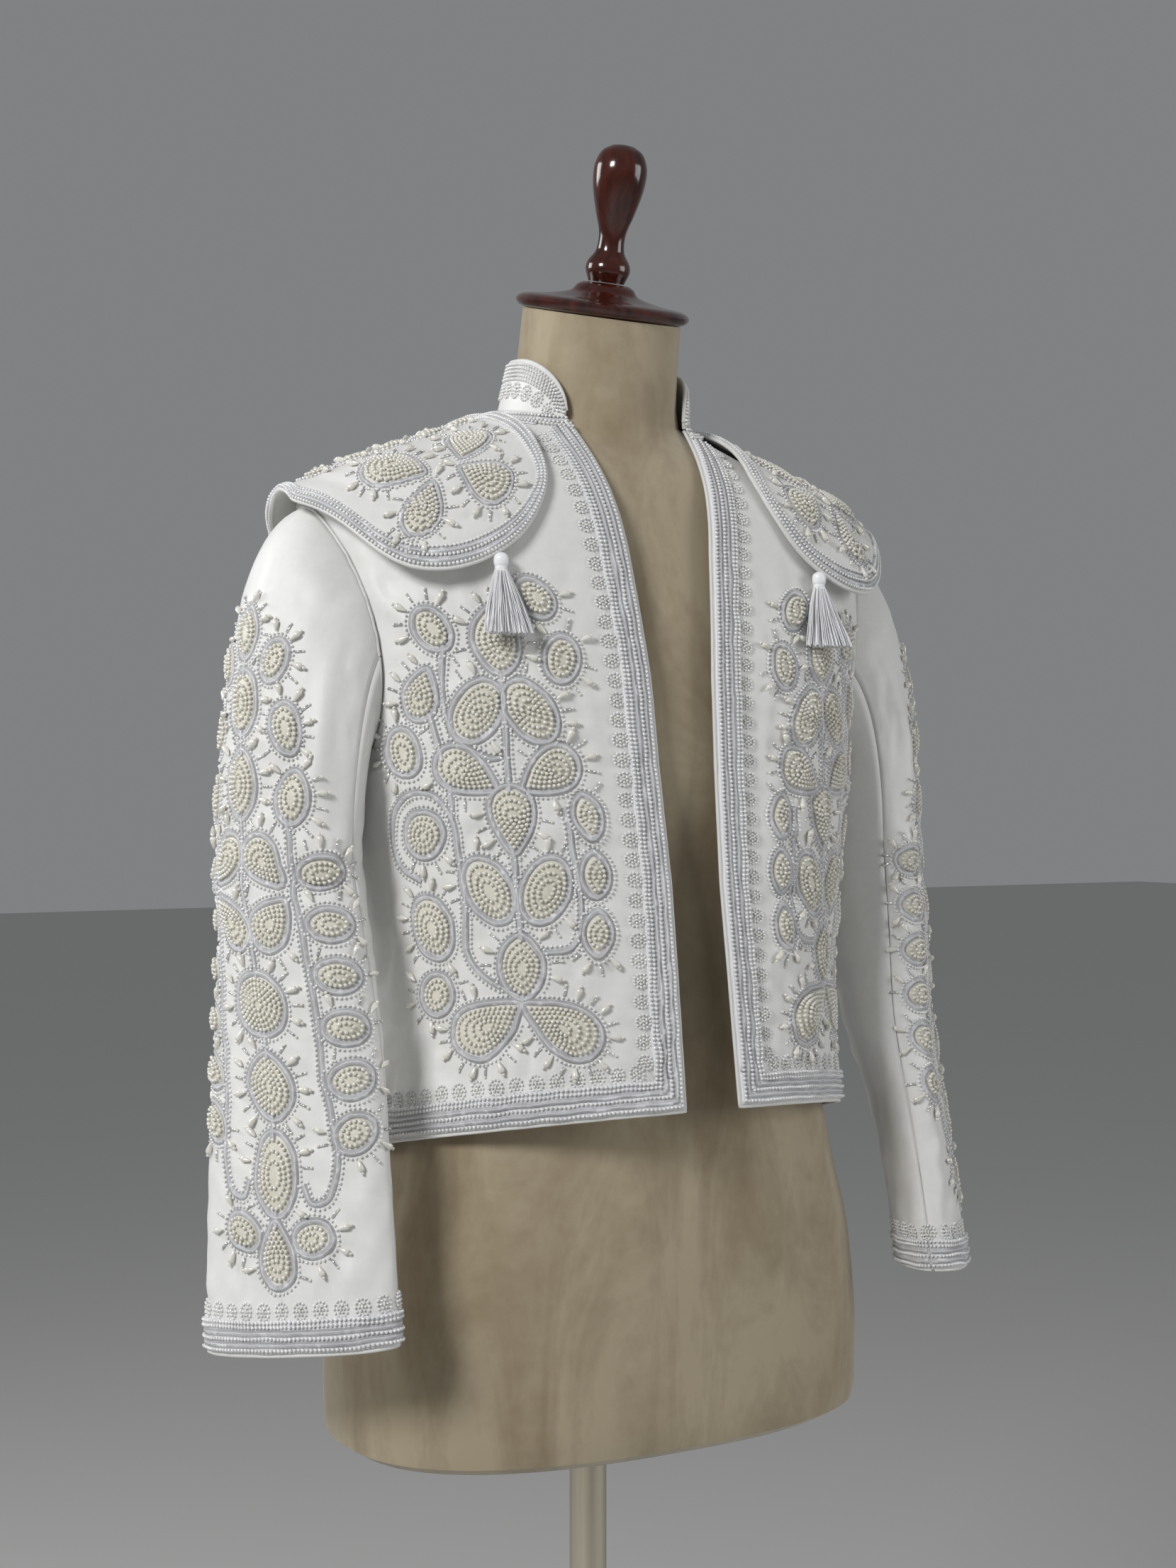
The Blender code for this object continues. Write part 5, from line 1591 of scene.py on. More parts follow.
def strip(panel: Panel, across: np.ndarray, up: np.ndarray, chart: Chart, lift: float = SEAM) -> Panel:
    """A narrow panel that lies on another.

    Args:
        panel: What it lies on.
        across: Places across it.
        up: Places up it.
        chart: What those places mean.
        lift: Its distance from the cloth.

    Returns:
        The strip, made from the panel's points.
    """
    if chart is Chart.NECK:
        up = up[::-1]
    flat = np.array([(x, y) for y in up for x in across])
    laid = panel.lay(flat, chart).raised(lift)
    return Panel(laid.points.reshape(len(up), len(across), 3), BRAID)


@dataclass
class Body:
    """The fronts, the back, their facings and borders, and the fronts' embroidery."""

    room: Workroom
    step: float = 0.0050
    band_top: float = 0.0245
    facing_width: float = 0.034
    facing_top: float = 1.400

    front_creases: tuple[Crease, ...] = (
        Crease(0.205, 1.365, -0.055, -0.060, 0.0016, 0.007), Crease(0.215, 1.330, -0.050, -0.085, -0.0014, 0.008),
        Crease(0.222, 1.290, -0.040, -0.090, 0.0012, 0.007), Crease(0.225, 1.060, -0.020, 0.150, -0.0018, 0.011),
        Crease(0.200, 1.020, -0.030, 0.110, 0.0014, 0.009), Crease(0.045, 1.030, 0.045, 0.030, 0.0014, 0.006),
        Crease(0.160, 1.000, 0.010, 0.050, -0.0012, 0.008), Crease(0.042, 1.176, 0.050, 0.010, 0.0015, 0.005),
        Crease(0.042, 1.132, 0.044, 0.008, -0.0013, 0.0045), Crease(0.042, 1.090, 0.040, 0.014, 0.0012, 0.0045),
        Crease(0.046, 1.240, 0.036, 0.004, -0.0012, 0.005), Crease(0.050, 1.330, 0.060, 0.020, 0.0010, 0.008),
        Crease(0.196, 1.240, -0.030, -0.050, 0.0016, 0.006))
    back_creases: tuple[Crease, ...] = (
        Crease(0.110, 1.000, 0.010, 0.160, 0.0020, 0.013), Crease(0.180, 0.990, -0.008, 0.190, -0.0022, 0.014),
        Crease(0.300, 0.990, 0.006, 0.170, 0.0021, 0.013), Crease(0.370, 0.995, -0.010, 0.150, -0.0018, 0.012),
        Crease(0.060, 1.300, 0.110, -0.060, 0.0014, 0.010), Crease(0.410, 1.290, -0.110, -0.070, 0.0015, 0.010),
        Crease(0.140, 1.390, 0.180, 0.006, -0.0012, 0.010), Crease(0.070, 1.100, 0.090, -0.030, -0.0013, 0.010),
        Crease(0.390, 1.110, -0.080, -0.036, 0.0013, 0.010))

    petals: tuple[Petal, ...] = (
        Petal(0.085, 1.050, 0.026, 0.0155, -58.0, Shape.DROP), Petal(0.135, 1.050, 0.026, 0.0155, 58.0, Shape.DROP),
        Petal(0.110, 1.090, 0.020, 0.0125, 0.0, Shape.LEAF), Petal(0.091, 1.142, 0.021, 0.0130, 26.0),
        Petal(0.129, 1.142, 0.021, 0.0130, -26.0), Petal(0.110, 1.190, 0.021, 0.0135, 180.0, Shape.DROP),
        Petal(0.082, 1.222, 0.020, 0.0135, 240.0, Shape.DROP), Petal(0.138, 1.222, 0.020, 0.0135, 120.0, Shape.DROP),
        Petal(0.092, 1.264, 0.021, 0.0135, -35.0), Petal(0.128, 1.264, 0.021, 0.0135, 35.0),
        Petal(0.110, 1.312, 0.021, 0.0135, 0.0, Shape.LEAF), Petal(0.172, 1.116, 0.019, 0.0125, -15.0),
        Petal(0.173, 1.180, 0.0135, 0.0120, 15.0), Petal(0.057, 1.112, 0.013, 0.0075, 6.0, Shape.LEAF),
        Petal(0.056, 1.152, 0.013, 0.0075, 0.0, Shape.LEAF), Petal(0.058, 1.192, 0.013, 0.0075, -8.0, Shape.LEAF),
        Petal(0.172, 1.070, 0.012, 0.0095, 20.0), Petal(0.182, 1.236, 0.014, 0.0095, -10.0),
        Petal(0.166, 1.276, 0.016, 0.0105, 20.0, Shape.DROP), Petal(0.066, 1.300, 0.014, 0.0095, 20.0),
        Petal(0.152, 1.320, 0.013, 0.0095, -30.0), Petal(0.078, 1.342, 0.012, 0.0090, -40.0))
    stems: tuple[tuple[tuple[float, float], ...], ...] = (
        ((0.110, 1.062), (0.109, 1.110), (0.111, 1.165), (0.110, 1.235), (0.110, 1.290)),
        ((0.112, 1.070), (0.136, 1.084), (0.147, 1.100), (0.146, 1.130), (0.148, 1.160), (0.151, 1.190),
         (0.162, 1.206), (0.180, 1.208), (0.195, 1.196), (0.200, 1.176), (0.194, 1.157), (0.178, 1.148)),
        ((0.151, 1.190), (0.150, 1.215), (0.157, 1.245), (0.160, 1.262)),
        ((0.095, 1.100), (0.074, 1.104), (0.067, 1.130), (0.070, 1.165), (0.074, 1.198)),
        ((0.110, 1.235), (0.122, 1.232), (0.146, 1.250), (0.150, 1.290), (0.140, 1.330)))

    def front_panel(self) -> Panel:
        """The left front before it is creased."""
        stack = Profile(JACKET)
        places = self.even_places(stack, 60.0)
        rows = []
        for place in places:
            cut = stack.at(place)
            side = 90.0 - ARMHOLE_SPREAD * armhole_share(cut.z)
            line = round_cut(cut, np.linspace(edge_turn(cut), side, 160))
            length = lengths_along(line)[-1] - 0.5 * SEAM
            rows.append(resample(line, np.linspace(0.0, length, 56)))
        return Panel(np.array(rows), CLOTH)

    def back_panel(self) -> Panel:
        """The back before it is creased, from the wearer's left round to the right."""
        stack = Profile(JACKET)
        rows = []
        for place in self.even_places(stack, 150.0):
            cut = stack.at(place)
            side = 90.0 + ARMHOLE_SPREAD * armhole_share(cut.z)
            line = round_cut(cut, np.linspace(side, 360.0 - side, 320))
            length = lengths_along(line)[-1]
            rows.append(resample(line, np.linspace(0.5 * SEAM, length - 0.5 * SEAM, 68)))
        return Panel(np.array(rows), CLOTH)

    def even_places(self, stack: Profile, turn: float) -> np.ndarray:
        """Places up the table that are evenly spaced on the cloth.

        Args:
            stack: The body's cuts.
            turn: The column on which they are spaced.

        Returns:
            The places.
        """
        fine = np.linspace(0.0, len(JACKET) - 1.0, 600)
        column = np.vstack([round_cut(stack.at(place), np.array([turn])) for place in fine])
        travelled = lengths_along(column)
        return np.interp(np.linspace(0.0, travelled[-1], int(travelled[-1] / self.step)), travelled, fine)

    @staticmethod
    def quiet(height: np.ndarray) -> np.ndarray:
        """Keep the folds off the shoulders, where the cloth lies on the form."""
        return np.clip((1.405 - height) / 0.05, 0.0, 1.0)

    def corner_line(self, panel: Panel, inset: float) -> Laid:
        """A line from the side seam along the hem, round the front corner and up to the neck."""
        side = float(panel.width[0]) - 0.0006
        hem = [(x, inset) for x in np.arange(side, inset, -0.004)]
        climb = float(panel.up[-1, 0]) - 0.003
        rise = [(inset, y) for y in np.arange(inset, climb, 0.004)]
        return panel.lay(np.array(hem + rise), Chart.HEM)

    def neck_line(self, panel: Panel, inset: float) -> Laid:
        """A line at a distance below the neck seam."""
        return panel.lay(np.array([(share, inset) for share in np.linspace(0.012, 0.988, 60)]), Chart.NECK)

    def build(self) -> None:
        """Make the body of the jacket and everything that is sewn on it."""
        room = self.room
        satin, braid = room.materials["ivory_satin"], room.materials["lavender_braid"]
        front = self.front_panel().creased(self.front_creases, PUCKER, 11, self.quiet, RIPPLE)
        back = self.back_panel().creased(self.back_creases, PUCKER, 12, self.quiet, RIPPLE)
        pattern = Pattern(self.petals, self.stems, limits=(0.046, 0.214, 0.99, 1.352))
        facing_rows = int((front.points[:, 0, 2] < self.facing_top).sum())
        facing_columns = int((front.share[0] * front.width[0] < self.facing_width).sum()) + 1
        inside = front.points - front.normals * (SEAM + FACING)
        facing = Panel(inside[:facing_rows, :facing_columns], FACING)
        side_end = float(front.width[0]) - 0.0006
        hem_strip = strip(front, np.arange(BORDER_GROUND[0], side_end, 0.005), np.linspace(*BORDER_GROUND, 8),
                          Chart.HEM)
        climb = float(front.up[-1, 0]) - 0.001
        front_strip = strip(front, np.linspace(*BORDER_GROUND, 8), np.arange(self.band_top, climb, 0.005),
                            Chart.HEM)
        neck_strip = strip(front, np.linspace(0.36, 0.995, 24), np.linspace(0.0012, 0.0150, 6), Chart.NECK)
        for side in SIDES:
            cloth = finish_piece(shell(f"front_cloth_{side}", front, satin, side), "satin", f"jacket_front_{side}")
            sewn = room.embroider("front", front, pattern, side)
            border = Border(room, "front_border")
            sewn += border.sew(lambda inset: [self.corner_line(front, inset)], side)
            neck = Border(room, "front_neck")
            sewn += neck.sew(lambda inset: [self.neck_line(front, inset)], side, NECK_BORDER)
            edge = [Laid(line.points - line.outward * 0.5 * CLOTH, line.outward)
                    for line in [self.corner_line(front, 0.0)]]
            sewn.append(room.ribbons(f"front_piping_{side}", edge, side, PIPING, PIPING, "satin_piping", 8))
            bands = []
            for name, band, node in (("front_band", front_strip, "front_band"), ("hem_band", hem_strip, "hem_band"),
                                     ("neck_band", neck_strip, "")):
                piece = shell(f"{name}_braid_{side}", band, braid, side)
                finish_piece(piece, "braid", *([f"{node}_{side}"] if node else []))
                declare(piece, band)
                bands.append(piece)
            declare(cloth, front)
            lining = finish_piece(shell(f"facing_cloth_{side}", facing, satin, side), "satin",
                                  f"front_facing_{side}")
            declare(lining, facing)
        self.build_back(back)

    def build_back(self, back: Panel) -> None:
        """The back and its hem and neck borders.

        Args:
            back: The creased back.
        """
        room = self.room
        cloth = finish_piece(shell("back_cloth", back, room.materials["ivory_satin"], "left"), "satin",
                             "jacket_back")
        end = float(back.width[0]) - 0.0006
        hem_strip = strip(back, np.arange(0.0006, end, 0.006), np.linspace(*BORDER_GROUND, 8), Chart.HEM)
        neck_strip = strip(back, np.linspace(0.01, 0.99, 48), np.linspace(0.0012, 0.0150, 6), Chart.NECK)

        def hem_line(inset: float) -> list[Laid]:
            """The line at a distance above the back's hem."""
            return [back.lay(np.array([(x, inset) for x in np.arange(0.0008, end, 0.004)]), Chart.HEM)]

        sewn = Border(room, "back_border").sew(hem_line, "middle")
        sewn += Border(room, "back_neck").sew(lambda inset: [self.neck_line(back, inset)], "middle",
                                              NECK_BORDER)
        edge = [Laid(line.points - line.outward * 0.5 * CLOTH, line.outward) for line in hem_line(0.0)]
        sewn.append(room.ribbons("back_piping", edge, "middle", PIPING, PIPING, "satin_piping", 8))
        for name, band, node in (("hem_band_braid_back", hem_strip, "hem_band_back"),
                                 ("neck_band_braid_back", neck_strip, "")):
            piece = finish_piece(shell(name, band, room.materials["lavender_braid"], "left"), "braid",
                                 *([node] if node else []))
            declare(piece, band)
        declare(cloth, back)


@dataclass
class Sleeves:
    """The two-piece sleeves with their borders, linings and embroidery."""

    room: Workroom
    cap_rows: int = 28
    tube_rows: int = 68
    lining_depth: float = 0.040

    top_creases: tuple[Crease, ...] = (
        Crease(-0.085, 1.300, 0.030, -0.100, 0.0022, 0.009), Crease(-0.065, 1.250, 0.060, -0.060, -0.0016, 0.008),
        Crease(-0.095, 1.180, 0.070, -0.020, 0.0018, 0.008), Crease(-0.090, 1.140, 0.060, 0.010, -0.0016, 0.008),
        Crease(0.095, 1.260, -0.050, -0.090, 0.0020, 0.010), Crease(0.095, 1.130, -0.060, 0.020, 0.0018, 0.009),
        Crease(-0.090, 0.920, 0.030, 0.110, 0.0016, 0.009), Crease(0.090, 0.930, -0.020, 0.120, -0.0016, 0.010),
        Crease(0.030, 0.890, 0.004, 0.040, 0.0010, 0.005), Crease(-0.034, 0.888, -0.004, 0.036, 0.0009, 0.005))
    under_creases: tuple[Crease, ...] = (
        Crease(-0.040, 1.200, 0.080, -0.030, 0.0022, 0.010), Crease(-0.045, 1.150, 0.085, -0.020, -0.0020, 0.009),
        Crease(-0.040, 1.110, 0.080, 0.012, 0.0018, 0.009), Crease(0.010, 1.060, 0.010, -0.140, -0.0020, 0.010),
        Crease(-0.025, 0.930, 0.010, 0.120, 0.0014, 0.009))

    petals: tuple[Petal, ...] = (
        Petal(0.000, 0.904, 0.019, 0.0110, 0.0, Shape.DROP), Petal(0.000, 0.955, 0.025, 0.0130, 0.0),
        Petal(0.000, 1.012, 0.020, 0.0150, 0.0, Shape.LEAF), Petal(0.000, 1.066, 0.0185, 0.0185, 0.0),
        Petal(-0.020, 1.121, 0.019, 0.0125, 45.0, Shape.DROP), Petal(0.020, 1.121, 0.019, 0.0125, -45.0, Shape.DROP),
        Petal(-0.020, 1.161, 0.019, 0.0125, 135.0, Shape.DROP), Petal(0.020, 1.161, 0.019, 0.0125, -135.0, Shape.DROP),
        Petal(0.000, 1.214, 0.022, 0.0120, 0.0, Shape.LEAF), Petal(0.000, 1.270, 0.020, 0.0120, 0.0),
        Petal(-0.027, 0.916, 0.012, 0.0085, 70.0), Petal(0.027, 0.916, 0.012, 0.0085, -70.0),
        Petal(-0.057, 0.984, 0.0120, 0.0085, 50.0), Petal(0.057, 0.984, 0.0120, 0.0085, -50.0),
        Petal(-0.059, 1.018, 0.0125, 0.0085, 70.0), Petal(0.059, 1.018, 0.0125, 0.0085, -70.0),
        Petal(-0.060, 1.052, 0.0125, 0.0080, 85.0), Petal(0.060, 1.052, 0.0125, 0.0080, 85.0),
        Petal(-0.060, 1.086, 0.0125, 0.0080, 90.0), Petal(0.060, 1.086, 0.0125, 0.0080, 90.0),
        Petal(-0.060, 1.120, 0.0125, 0.0080, 85.0), Petal(0.060, 1.120, 0.0125, 0.0080, 95.0),
        Petal(-0.060, 1.155, 0.0130, 0.0085, 80.0), Petal(0.060, 1.155, 0.0130, 0.0085, 100.0),
        Petal(-0.044, 1.205, 0.0160, 0.0090, 12.0), Petal(0.044, 1.205, 0.0160, 0.0090, -12.0),
        Petal(-0.040, 1.252, 0.0150, 0.0090, -10.0), Petal(0.040, 1.252, 0.0150, 0.0090, 10.0),
        Petal(0.000, 1.318, 0.0160, 0.0100, 0.0, Shape.LEAF), Petal(-0.030, 1.298, 0.0130, 0.0085, 30.0),
        Petal(0.030, 1.298, 0.0130, 0.0085, -30.0))
    stems: tuple[tuple[tuple[float, float], ...], ...] = (
        ((0.0, 0.920), (0.001, 0.990), (-0.001, 1.040), (0.0, 1.090), (0.0, 1.185), (0.0, 1.245), (0.0, 1.300)),
        ((-0.038, 1.192), (-0.042, 1.150), (-0.041, 1.110), (-0.042, 1.060), (-0.041, 1.010), (-0.045, 0.970),
         (-0.040, 0.944), (-0.027, 0.938), (-0.021, 0.950)),
        ((0.038, 1.192), (0.042, 1.150), (0.041, 1.110), (0.042, 1.060), (0.041, 1.010), (0.045, 0.970),
         (0.040, 0.944), (0.027, 0.938), (0.021, 0.950)))

    def ring(self, tube: Tube, angle: float) -> np.ndarray:
        """A point of a cut: 0 is outside, 90 in front, 180 inside, in radians."""
        turn = math.radians(tube.turn)
        outward = np.array((math.cos(turn), -math.sin(turn), 0.0))
        forward = np.array((-math.sin(turn), -math.cos(turn), tube.rise))
        centre = np.array((tube.centre_x, tube.centre_y, tube.z))
        return (centre + outward * tube.half_short * math.cos(angle)
                + forward * tube.half_long * math.sin(angle))

    def seam_point(self, angle: float) -> tuple[np.ndarray, np.ndarray]:
        """A point of the armhole seam, and the body's level outward direction there."""
        middle, half = 0.5 * (ARMHOLE_TOP + ARMHOLE_BOTTOM), 0.5 * (ARMHOLE_TOP - ARMHOLE_BOTTOM)
        z = middle + half * math.cos(angle)
        stack = Profile(JACKET)
        cut = stack.at(bisect(lambda place: stack.at(place).z < z, *ARMHOLE_ROWS))
        turn = 90.0 - ARMHOLE_SPREAD * math.sin(angle)
        point, ahead, behind = round_cut(cut, np.array((turn, turn + 0.5, turn - 0.5)))
        along = ahead - behind
        outward = np.array((-along[1], along[0], 0.0))
        outward *= math.copysign(1.0, outward[0]) / np.linalg.norm(outward)
        return point, outward

    def column(self, angle: float) -> np.ndarray:
        """The points down the left sleeve at one angle round it."""
        point, outward = self.seam_point(angle)
        under = 0.5 * (1.0 - math.cos(angle))
        start = point + outward * (CLOTH + SLEEVE_STEP + UNDERARM_STEP * under)
        end = self.ring(SLEEVE[0], angle)
        span = float(np.linalg.norm(end - start))
        up = np.array((0.0, 0.0, 1.0))
        leave = span * (outward * (LEAVE_OUT + LEAVE_OUT_UNDER * under)
                        + up * (LEAVE_DOWN + LEAVE_DOWN_UNDER * under))
        arrive = span * up * ARRIVE_DOWN
        rows = [(2 * f**3 - 3 * f**2 + 1) * start + (f**3 - 2 * f**2 + f) * leave
                + (3 * f**2 - 2 * f**3) * end + (f**3 - f**2) * arrive
                for f in np.linspace(0.0, 1.0, self.cap_rows, endpoint=False)]
        arm = Profile(SLEEVE)
        rows.extend(self.ring(arm.at(place), angle) for place in np.linspace(0.0, len(SLEEVE) - 1, self.tube_rows))
        return np.array(rows[::-1])

    def panel(self, first: float, last: float, columns: int) -> Panel:
        """A stretch of the left sleeve between two angles round it, from front to back."""
        inset = 0.15
        angles = np.radians(np.linspace(first - inset, last + inset, columns))
        return Panel(np.array([self.column(angle) for angle in angles]).swapaxes(0, 1), CLOTH, centred=True)

    @staticmethod
    def hem_line(panel: Panel, inset: float) -> Laid:
        """The line at a distance above a sleeve piece's hem."""
        half = 0.5 * float(panel.width[0]) - 0.0006
        return panel.lay(np.array([(x, inset) for x in np.arange(-half, half, 0.004)]), Chart.HEM)

    @staticmethod
    def quiet(height: np.ndarray) -> np.ndarray:
        """Leave the folds out of the seam with the body."""
        return np.clip((1.385 - height) / 0.03, 0.0, 1.0)

    def build(self) -> None:
        """Make both sleeves and everything that is sewn on them."""
        room = self.room
        reach = TOP_SLEEVE_REACH
        top = self.panel(reach, -reach, 48).creased(self.top_creases, PUCKER, 21, self.quiet, RIPPLE)
        under = self.panel(-reach, reach - 360.0, 24).creased(self.under_creases, PUCKER, 22,
                                                              self.under_quiet, RIPPLE)
        pattern = Pattern(self.petals, self.stems, limits=(-0.096, 0.096, 0.884, 1.345))
        for side in SIDES:
            sleeve = {}
            for part, panel, columns in (("top", top, 36), ("under", under, 18)):
                cloth = finish_piece(shell(f"sleeve_{part}_cloth_{side}", panel, room.materials["ivory_satin"], side),
                                     "satin", f"sleeve_{part}_{side}")
                half = 0.5 * float(panel.width[0]) - 0.0006
                band = strip(panel, np.linspace(-half, half, columns), np.linspace(*BORDER_GROUND, 8), Chart.HEM)
                braid = finish_piece(shell(f"cuff_{part}_braid_{side}", band, room.materials["lavender_braid"], side),
                                     "braid", f"cuff_band_{part}_{side}")
                declare(braid, band)
                sewn = Border(room, f"cuff_{part}").sew(lambda inset, p=panel: [self.hem_line(p, inset)], side)
                edge = self.hem_line(panel, 0.0)
                sewn.append(room.ribbons(f"cuff_{part}_piping_{side}", [edge.raised(-0.5 * CLOTH)], side, PIPING,
                                         PIPING, "satin_piping", 8))
                seam = panel.lay(np.array([(share, 0.0004) for share in np.linspace(0.0, 1.0, 90)]), Chart.NECK)
                sewn.append(room.ribbons(f"armhole_seam_{part}_{side}", [seam.raised(-0.0008)], side, 0.0030,
                                         0.0030, "satin_piping", 6))
                sleeve[part] = (cloth, panel, sewn)
            sleeve["top"][2].extend(room.embroider("sleeve", top, pattern, side))
            for cloth, panel, sewn in sleeve.values():
                declare(cloth, panel)
            inside = [panel.points[:int((panel.up[:, 0] < self.lining_depth).sum())]
                      - panel.normals[:int((panel.up[:, 0] < self.lining_depth).sum())] * (SEAM + FACING)
                      for panel in (top, under)]
            rows = min(len(part) for part in inside)
            lining = Panel(np.concatenate((inside[0][:rows], inside[1][:rows]), axis=1), FACING)
            piece = finish_piece(shell(f"cuff_lining_cloth_{side}", lining, room.materials["peach_lining"], side),
                                 "lining", f"cuff_lining_{side}")
            declare(piece, lining)

    @staticmethod
    def under_quiet(height: np.ndarray) -> np.ndarray:
        """Leave the folds out of the seam under the arm."""
        return np.clip((1.215 - height) / 0.03, 0.0, 1.0)


@dataclass
class Collar:
    """The stand collar with its bead rows."""

    room: Workroom
    columns: int = 130
    rows: int = 12

    def panel(self) -> Panel:
        """The collar, from the wearer's left end round the back to the right."""
        stack = Profile((COLLAR_BASE, COLLAR_TOP))
        first = edge_turn(COLLAR_BASE)
        lines = []
        for place in np.linspace(0.0, 1.0, 14):
            line = round_cut(stack.at(place), np.linspace(first, 360.0 - first, 240))
            lines.append(resample(line, np.linspace(0.0, lengths_along(line)[-1], 200)))
        lines = np.array(lines)
        length = lengths_along(lines[0])[-1]
        half = 0.5 * length
        steps = np.linspace(0.0, 1.0, self.columns // 2 + 1) ** 1.25
        grid = []
        for distance in np.concatenate((half * steps, (length - half * steps[::-1])[1:])):
            from_end = min(distance, length - distance)
            share = math.sqrt(max(0.0, 1.0 - (1.0 - min(from_end / COLLAR_ROUNDING, 1.0)) ** 2))
            share = max(share, COLLAR_LOWEST)
            where = distance / length * (lines.shape[1] - 1)
            files = np.arange(lines.shape[1])
            upright = np.array([[np.interp(where, files, line[:, k]) for k in range(3)] for line in lines])
            grid.append(resample(upright, np.linspace(0.0, lengths_along(upright)[-1] * share, self.rows)))
        return Panel(np.array(grid).swapaxes(0, 1), COLLAR_WALL)

    def under_edge(self, panel: Panel, inset: float) -> list[Laid]:
        """The line at a distance below the top edge, as far as the collar is tall enough."""
        tall = panel.up[-1] > inset + 0.0035
        shares = panel.share[0][tall]
        shares = np.linspace(shares.min(), shares.max(), 150)
        return [panel.lay(np.array([(share, inset) for share in shares]), Chart.NECK)]

    def build(self) -> None:
        """Make the collar."""
        room = self.room
        panel = self.panel()
        cloth = finish_piece(shell("collar_cloth", panel, room.materials["ivory_satin"], "left"), "satin", "collar")
        rows = [line for inset in (0.0028, 0.0056, 0.0084, 0.0112, 0.0140) for line in self.under_edge(panel, inset)]
        sewn = [room.bead_rows("collar_seed_rows", rows, "middle", SEED, "seed_bead")]
        sewn.append(room.rosettes("collar_rosettes", self.under_edge(panel, 0.0225), "middle", 0.0126))
        edge = [line.raised(-0.5 * COLLAR_WALL) for line in self.under_edge(panel, 0.0)]
        sewn.append(room.ribbons("collar_piping", edge, "middle", 0.0030, 0.0030, "satin_piping", 8))
        declare(cloth, panel)


class Skin:
    """The jacket's outer side over the left shoulder, as points with their outward directions."""

    def __init__(self, lowest: float) -> None:
        """Sample the skin.

        Args:
            lowest: The lowest place up the body's table.
        """
        stack = Profile(JACKET)
        grid = np.array([round_cut(stack.at(place), np.linspace(0.0, 180.0, 150))
                         for place in np.linspace(lowest, len(JACKET) - 1, 90)])
        normals = surface_normals(grid)
        self.points = (grid + normals * CLOTH).reshape(-1, 3)
        self.outward = normals.reshape(-1, 3)

    def lifted(self, point: np.ndarray, gap: float) -> np.ndarray:
        """The point, moved out of the cloth where it lies less than the gap outside it."""
        nearest = np.argmin(((self.points - point) ** 2).sum(axis=1))
        height = float((point - self.points[nearest]) @ self.outward[nearest])
        return point + self.outward[nearest] * max(0.0, gap - height)


